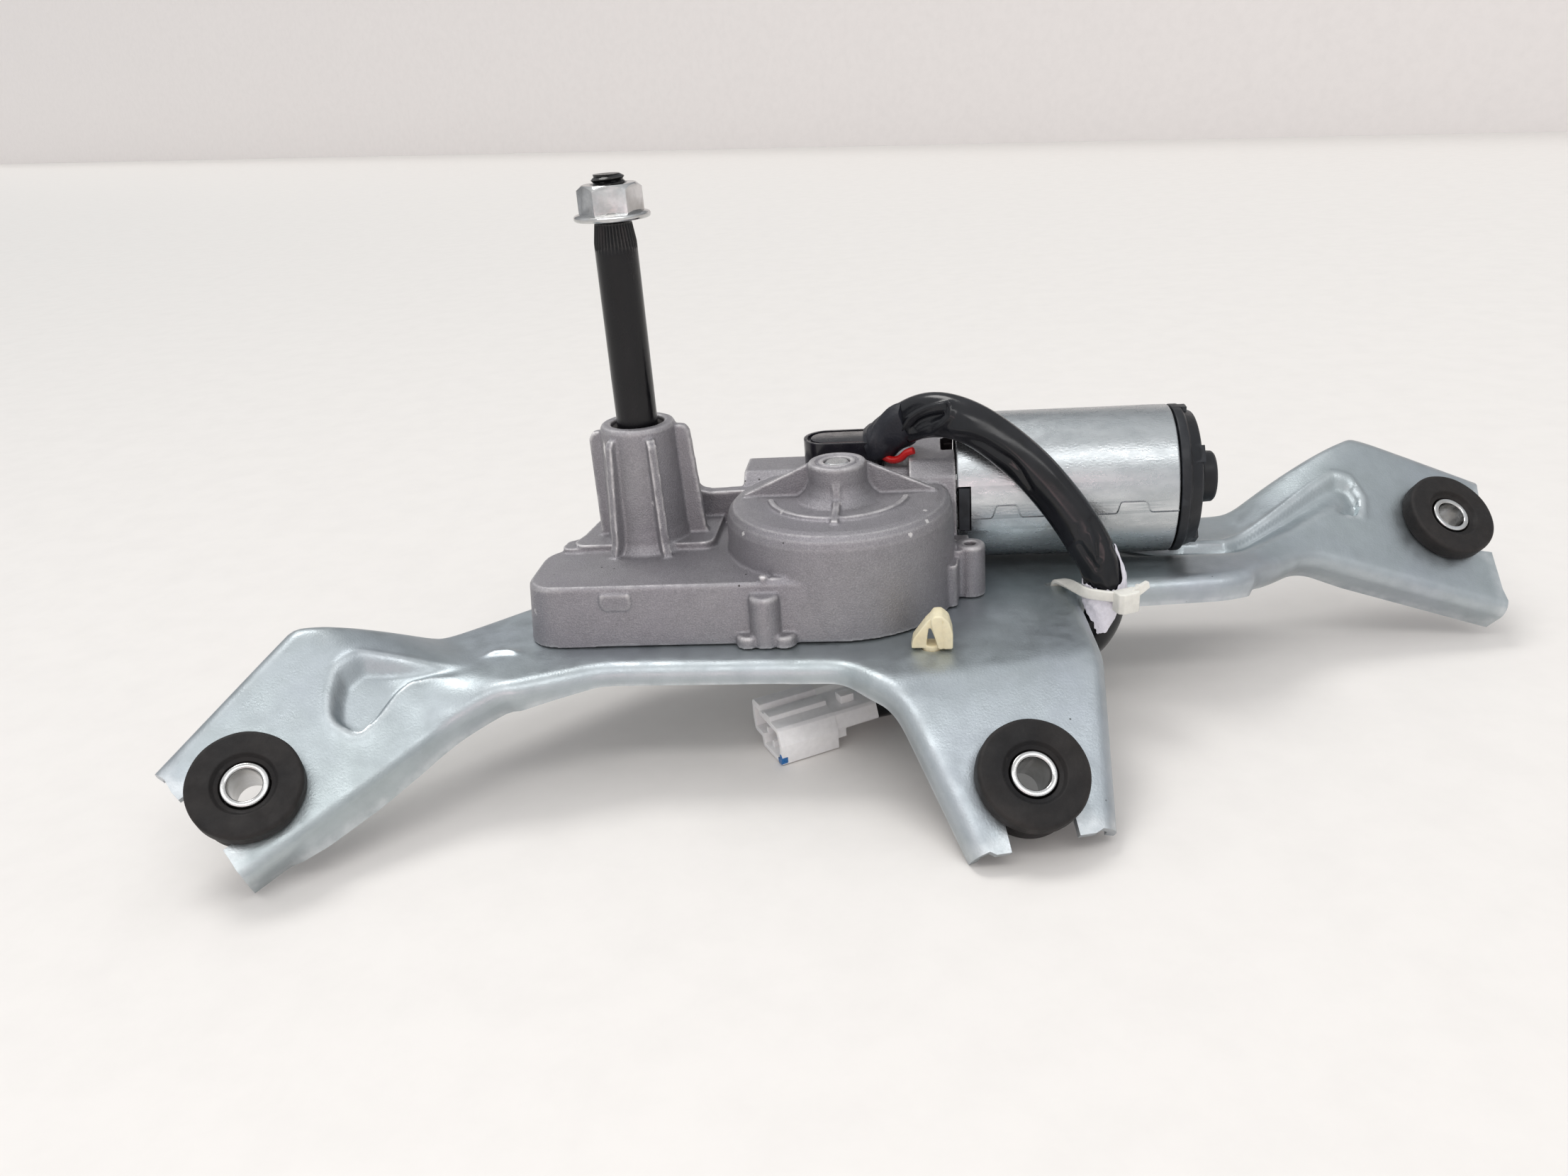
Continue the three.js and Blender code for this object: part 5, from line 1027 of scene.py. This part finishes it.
# ---------------------------------------------------------------- push-in clip
clip_loc = at(73.0, -34.5)
prof = fillet([(-4.7, 0.3), (-1.3, 0.3), (-0.9, 3.6), (-0.5, 6.2), (0.3, 4.0), (1.5, 0.3), (4.7, 0.3), (4.8, 4.0), (4.0, 7.0), (2.3, 8.6), (0.6, 8.5), (-1.3, 6.6), (-4.2, 2.6)],
              [0.3, 0.3, 1, 0.3, 1, 0.3, 0.4, 2.0, 1.6, 1.0, 1.2, 2.0, 0.9], 4)
clip = prism("push_in_clip", prof, -1.9, 1.9, frame_of([1, 0, 0], [0, 0, 1], [0, -1, 0], [73.0, -34.5, 0]))
fat = prism("s", fillet([(1.5, 0.3), (4.7, 0.3), (4.8, 4.0), (4.0, 7.0), (2.3, 8.6), (0.6, 8.5), (-0.2, 7.4), (0.4, 4.4)], [0.3, 0.4, 2, 1.6, 1.0, 1.0, 1, 1], 4), -2.8, 2.8,
            frame_of([1, 0, 0], [0, 0, 1], [0, -1, 0], [73.0, -34.5, 0]))
notch = prism("s", [(2.4, -1), (2.9, -1), (2.7, 7.6), (2.3, 7.6)], 2.45, 4, frame_of([1, 0, 0], [0, 0, 1], [0, -1, 0], [73.0, -34.5, 0]))
boolean(fat, [notch], "DIFFERENCE")
boolean(clip, [fat], "UNION")
extra = [lathe("s", [(0, -6.6), (1.4, -6.6), (3.4, -2.95), (2.3, -2.6), (2.3, 0.9), (0, 0.9)], 32, clip_loc),
         prism("s", fillet([(-4.7, -1.9), (4.7, -1.9), (4.7, 1.9), (-4.7, 1.9)], 1.2, 4), 0.3, 0.8, clip_loc)]
boolean(clip, extra, "UNION")
cast_skin(clip, 0.22, 4, 0.5)
done(clip, "cream", replaces=["plate_clip"], angle=None)

# ---------------------------------------------------------------- connector
ca = math.radians(31)
LV, WV = np.array([math.cos(ca), math.sin(ca), 0]), np.array([-math.sin(ca), math.cos(ca), 0])
CC = np.array([32.4, -28.9, -25.4])
# its own frame: X across the width, Y up, Z along the length from the mating face
cf = frame_of(WV, [0, 0, 1], LV, CC)
face = [(-8.1, -5.5), (3.0, -5.5), (3.4, -3.0), (7.5, -2.8), (8.2, 0.5), (8.2, 4.7), (7.6, 5.6), (3.7, 5.6), (3.3, 4.1), (1.5, 4.1), (1.2, 5.0), (-2.0, 5.0), (-2.4, 3.9), (-5.9, 3.6), (-6.7, 3.0), (-8.2, -0.4)]
cn = prism("connector_shell", fillet(face, 0.35, 2), 0, 15.4, cf)
rear = [(-7.6, -0.9), (7.4, -0.9), (7.8, 3.4), (3.4, 4.0), (-5.9, 3.5), (-6.6, 2.9), (-7.8, -0.2)]
latch = prism("l", [(-3.4, 3.6), (-0.4, 3.6), (-0.4, 5.6), (-3.4, 5.6)], 19.0, 22.5, cf)
boolean(cn, [prism("r", fillet(rear, 0.4, 2), 15.0, 27.0, cf), latch, prism("l", [(-7.3, -3.2), (5.0, -3.2), (5.0, 0), (-7.3, 0)], 15.0, 18.0, cf)], "UNION")
pocket = offset_poly(face, 1.25)
pocket = [(-6.85, -4.25), (1.9, -4.25), (2.3, -1.75), (6.5, -1.6), (6.95, 0.6), (6.95, 3.9), (4.4, 3.9), (4.0, 2.8), (-5.2, 2.4), (-5.7, 2.0), (-6.95, -0.7)]
boolean(cn, [prism("p", pocket, -1, 13.0, cf), prism("p", [(-3.4, -2.2), (3.4, -2.2), (3.4, 2.6), (-3.4, 2.6)], 21, 28, cf)], "DIFFERENCE")
boolean(cn, [prism("p", [(-1.2, -4.6), (0.0, -4.6), (0.0, -2.6), (-1.2, -2.6)], 1.2, 13.5, cf),
             prism("p", [(2.0, -2.2), (3.0, -2.2), (3.0, -0.3), (2.0, -0.3)], 1.2, 13.5, cf)], "UNION")
bevel(cn, 0.30, 3, 30)
connector = done(cn, "white", replaces=["connector_housing"], angle=35)
mk = prism("blue_mark", fillet([(-8.15, -5.55), (-5.6, -5.55), (-5.9, -3.6), (-7.2, -2.7), (-8.2, -3.4)], 0.7, 4), -0.12, 1.5, cf)
boolean(mk, [prism("p", pocket, -2, 13.0, cf)], "DIFFERENCE")
bevel(mk, 0.1, 2, 30)
mark = done(mk, "blue", angle=50)

# ---------------------------------------------------------------- cloth tape and tie
ti = int(round(TIE_S / cord_mm * 299))
T0 = line[ti + 2] - line[ti - 2]; T0 /= np.linalg.norm(T0)


def tape_mesh():
    # angle 0 is +X, -90 the viewer's side; t runs up the sleeve from the strap
    key = [(-180, 2.6, -4.2), (-150, 2.4, -6.5), (-120, 1.2, -8.6), (-98, 0.5, -11.0), (-80, 0.2, -9.6), (-62, 0.4, -3.0), (-40, 1.6, -1.6), (-15, 7.6, -1.6),
           (0, 8.6, -2.0), (20, 6.0, -2.6), (60, 3.4, -3.4), (110, 2.6, -4.0), (150, 2.8, -4.0), (180, 2.6, -4.2)]
    A, U_, D_ = (np.array([k[i] for k in key], float) for i in range(3))
    n, mrow, verts, faces = 140, 26, [], []
    S = np.array([cord_mm * k / 299 for k in range(300)])
    Tn = np.gradient(line, axis=0); Tn /= np.linalg.norm(Tn, axis=1)[:, None]
    rng = np.random.default_rng(4)
    ragged = np.convolve(rng.normal(0, 0.35, n), np.ones(3) / 3, "same"); ragged2 = np.convolve(rng.normal(0, 0.4, n), np.ones(3) / 3, "same")
    for layer in (0, 1):
        for k in range(mrow):
            f = k / (mrow - 1)
            for i in range(n):
                a = -180 + 360 * i / n
                up_, dn = np.interp(a, A, U_) + ragged[i], np.interp(a, A, D_) + ragged2[i]
                t = dn + (up_ - dn) * f
                s = np.clip(TIE_S - t, 0, cord_mm)
                c = np.array([np.interp(s, S, line[:, q]) for q in range(3)])
                d_ = np.array([np.interp(s, S, Tn[:, q]) for q in range(3)]); d_ /= np.linalg.norm(d_)
                ax = np.array([1, 0, 0]) - d_ * d_[0]; ax /= np.linalg.norm(ax); ay = np.cross([0, 0, 1.0], ax); ay -= d_ * (ay @ d_); ay /= np.linalg.norm(ay)
                w = math.radians(a)
                r = 5.0 + 0.10 * math.sin(9 * w + t) + 0.07 * math.sin(17 * w - 2 * t)
                bulge = math.exp(-((t + 2.8) / 2.2) ** 2) * math.exp(-(((a + 150 + 180) % 360 - 180) / 42) ** 2)
                r += 0.75 * bulge - 0.35 * math.exp(-(t / 1.2) ** 2) * 0.5
                r += 0.28 if layer else 0
                verts.append(c + (ax * math.cos(w) + ay * math.sin(w)) * r)
    g = lambda l, k, i: l * mrow * n + k * n + i % n
    for k in range(mrow - 1):
        for i in range(n):
            faces.append([g(1, k, i), g(1, k, i + 1), g(1, k + 1, i + 1), g(1, k + 1, i)])
            faces.append([g(0, k, i), g(0, k + 1, i), g(0, k + 1, i + 1), g(0, k, i + 1)])
    for i in range(n):
        faces.append([g(0, 0, i), g(0, 0, i + 1), g(1, 0, i + 1), g(1, 0, i)])
        faces.append([g(0, mrow - 1, i), g(1, mrow - 1, i), g(1, mrow - 1, i + 1), g(0, mrow - 1, i + 1)])
    return outward(mesh_obj("white_cloth_tape", verts, faces))


tape = done(tape_mesh(), "tape", replaces=["cloth_tape"], angle=70)

TIE = np.array([
    [122.8, -10.4, 2.2, 1, 0, 0], [121.4, -13.9, 2.5, 0.76, -0.65, 0], [118.2, -16.0, 2.8, 0.35, -0.94, 0], [114.6, -16.0, 3.1, -0.2, -0.98, 0],
    [110.4, -14.2, 3.2, -0.7, -0.7, 0.1], [108.2, -9.8, 2.8, -0.8, -0.2, 0.55], [106.5, -5.2, 2.0, -0.35, 0, 0.94],
    [104.9, -2.5, 1.35, -0.1, 0.5, 0.86], [104.4, -1.4, -0.6, 0, 1, 0.05], [104.4, -1.4, -3.6, 0, 1, 0], [105.6, -2.3, -7.4, -0.3, 0.6, -0.75],
    [109.0, -3.6, -9.9, 0, 0.3, -0.95], [113.6, -3.7, -9.9, 0.1, 0.8, -0.6], [118.0, -4.4, -7.6, 0.4, 0.9, -0.1], [121.4, -6.3, -4.0, 0.8, 0.6, 0],
    [122.8, -8.6, -0.6, 1, 0.1, 0], [122.9, -9.9, 1.4, 1, 0, 0]])


def tie_mesh():
    C, _ = catmull(TIE, 150)
    T = np.gradient(C[:, :3], axis=0); T /= np.linalg.norm(T, axis=1)[:, None]
    sec = fillet([(-1.3, -0.5), (1.3, -0.5), (1.3, 0.5), (-1.3, 0.5)], 0.28, 3)
    sec = [(a, b - (0.16 if abs(a) < 0.75 and b > 0 else 0)) for a, b in sec]
    m_ = len(sec)
    verts, faces = [], []
    for k in range(len(C)):
        nn = C[k, 3:6] - T[k] * (C[k, 3:6] @ T[k]); nn /= np.linalg.norm(nn)
        cc = np.cross(T[k], nn)
        for a, b in sec:
            verts.append(C[k, :3] + cc * a + nn * b)
    for k in range(len(C) - 1):
        for i in range(m_):
            j = (i + 1) % m_
            faces.append([k * m_ + i, k * m_ + j, (k + 1) * m_ + j, (k + 1) * m_ + i])
    faces.append(list(range(m_))[::-1]); faces.append([(len(C) - 1) * m_ + i for i in range(m_)])
    strap = outward(mesh_obj("nylon_cable_tie", verts, faces))
    w = math.radians(-66)
    hf = frame_of([math.cos(w), math.sin(w), 0], [-math.sin(w), math.cos(w), 0], [0, 0, 1], [119.2, -16.6, 2.0])
    head = prism("h", fillet([(-1.9, -2.8), (1.2, -2.8), (2.1, -1.8), (2.1, 2.2), (1.2, 2.9), (-1.9, 2.9)], 0.6, 4), -2.6, 2.5, hf)
    sx = np.array([0.80, 0.42, 0.43]); sx /= np.linalg.norm(sx)
    sy = np.cross([0.4, -0.9, 0.1], sx); sy /= np.linalg.norm(sy)
    stub = prism("h", fillet([(0, -1.25), (5.0, -1.1), (5.4, 0.5), (0, 1.25)], 0.2, 2), -0.55, 0.55, frame_of(sx, sy, np.cross(sx, sy), [120.2, -16.4, 3.2]))
    bevel(head, 0.3, 3, 30)
    boolean(strap, [head, stub], "UNION")
    return strap


tie = done(tie_mesh(), "nylon", replaces=["cable_tie"], angle=35)

# ---------------------------------------------------------------- the CAD nodes that stay get their finishes
KEEP = {
    "upper_shaft_bush": "bronze", "lower_shaft_bush": "bronze", "shaft_seal": "rubber", "thrust_washer": "steel", "output_lever": "steel", "lever_pin": "steel",
    "connecting_rod": "steel", "worm_wheel": "wheel", "crank_pin": "steel", "gear_pin": "steel", "gear_retaining_ring": "steel", "worm_shaft": "steel",
    "commutator": "copper", "armature_core": "lam", "winding_front": "copper", "winding_rear": "copper", "magnet_front": "ferrite", "magnet_rear": "ferrite",
    "brush_holder": "blackp", "brush_front": "carbon", "brush_rear": "carbon", "front_bearing": "bronze", "rear_bearing": "bronze",
}
for i in range(1, 5):
    KEEP[f"housing_screw_{i}"] = "steel"
    KEEP[f"connector_terminal_{i}"] = "tin"
for name, mat in KEEP.items():
    o = NODES[name]
    if o.material_slots:
        for s in o.material_slots:
            s.material = M[mat]
    else:
        o.data.materials.append(M[mat])

# ---------------------------------------------------------------- floor, wall and light
def stage_plane(name, corners, color, rough):
    me = bpy.data.meshes.new(name)
    me.from_pydata(corners, [], [(0, 1, 2, 3)])
    o = bpy.data.objects.new(name, me)
    COL.objects.link(o)
    me.materials.append(material(name, color, 0, rough, tint=tuple(c * 0.985 for c in color), tint_scale=9, tint_amount=0.15, rough_var=0.02, rough_scale=30))
    return o


stage_plane("floor", [(-6, -6, 0), (6, -6, 0), (6, 8, 0), (-6, 8, 0)], (0.805, 0.783, 0.758), 0.55)
wl = np.array([-183.0, 2243.0]); wr = np.array([846.0, 1543.0]); wd = (wr - wl) / np.linalg.norm(wr - wl)
a_, b_ = (wl - wd * 5000) / 1000, (wl + wd * 7000) / 1000
stage_plane("wall", [(a_[0], a_[1], 0), (b_[0], b_[1], 0), (b_[0], b_[1], 0.8), (a_[0], a_[1], 0.8)], (0.89, 0.85, 0.835), 0.7)


def area(name, loc, target, size, power, color=(1, 1, 1), sy=None):
    d_ = bpy.data.lights.new(name, "AREA")
    d_.energy, d_.color, d_.shape = power, color, "RECTANGLE"
    d_.size, d_.size_y = size, sy or size
    o = bpy.data.objects.new(name, d_)
    o.location = loc
    o.rotation_euler = (Vector(target) - Vector(loc)).to_track_quat("-Z", "Y").to_euler()
    COL.objects.link(o)


def sun(name, direction, strength, angle, color=(1, 1, 1)):
    d_ = bpy.data.lights.new(name, "SUN")
    d_.energy, d_.angle, d_.color = strength, math.radians(angle), color
    o = bpy.data.objects.new(name, d_)
    o.rotation_euler = (-Vector(direction)).to_track_quat("-Z", "Y").to_euler()
    COL.objects.link(o)


sun("window", (-0.35, 0.35, 1.0), 0.85, 22, (1, 0.985, 0.96))
area("band", (0.05, -0.62, 1.05), (0.02, 0.0, 0.05), 1.5, 3.4, (1, 0.99, 0.98), 0.22)
area("warm_bounce", (-0.1, -1.1, 0.42), (0.05, 0.0, 0.05), 0.9, 0.9, (1, 0.66, 0.66), 0.16)
world = bpy.data.worlds.new("world")
SC.world = world
world.use_nodes = True
wn, wlk = world.node_tree.nodes, world.node_tree.links
bg = next(n for n in wn if n.type == "BACKGROUND")
tc_ = wn.new("ShaderNodeTexCoord"); dot = wn.new("ShaderNodeVectorMath"); mr = wn.new("ShaderNodeMapRange"); rampn = wn.new("ShaderNodeValToRGB")
dot.operation = "DOT_PRODUCT"
dot.inputs[1].default_value = (-0.12, -0.58, 0.80)      # the room is brightest above and behind the viewer
wlk.new(tc_.outputs["Generated"], dot.inputs[0]); wlk.new(dot.outputs["Value"], mr.inputs["Value"])
put(mr.inputs["From Min"], -1.0)
wlk.new(mr.outputs["Result"], rampn.inputs[0])
el = rampn.color_ramp.elements
el[0].position, el[0].color = 0.25, (0.20, 0.205, 0.21, 1)
el[1].position, el[1].color = 1.0, (1.0, 1.0, 1.0, 1)
e_ = el.new(0.5); e_.color = (0.44, 0.45, 0.465, 1)
e_ = el.new(0.75); e_.color = (0.86, 0.87, 0.88, 1)
wlk.new(rampn.outputs[0], bg.inputs[0])
bg.inputs[1].default_value = 0.93
SC.view_settings.view_transform = "Standard"
SC.view_settings.look = "None"
SC.view_settings.exposure = 0.0
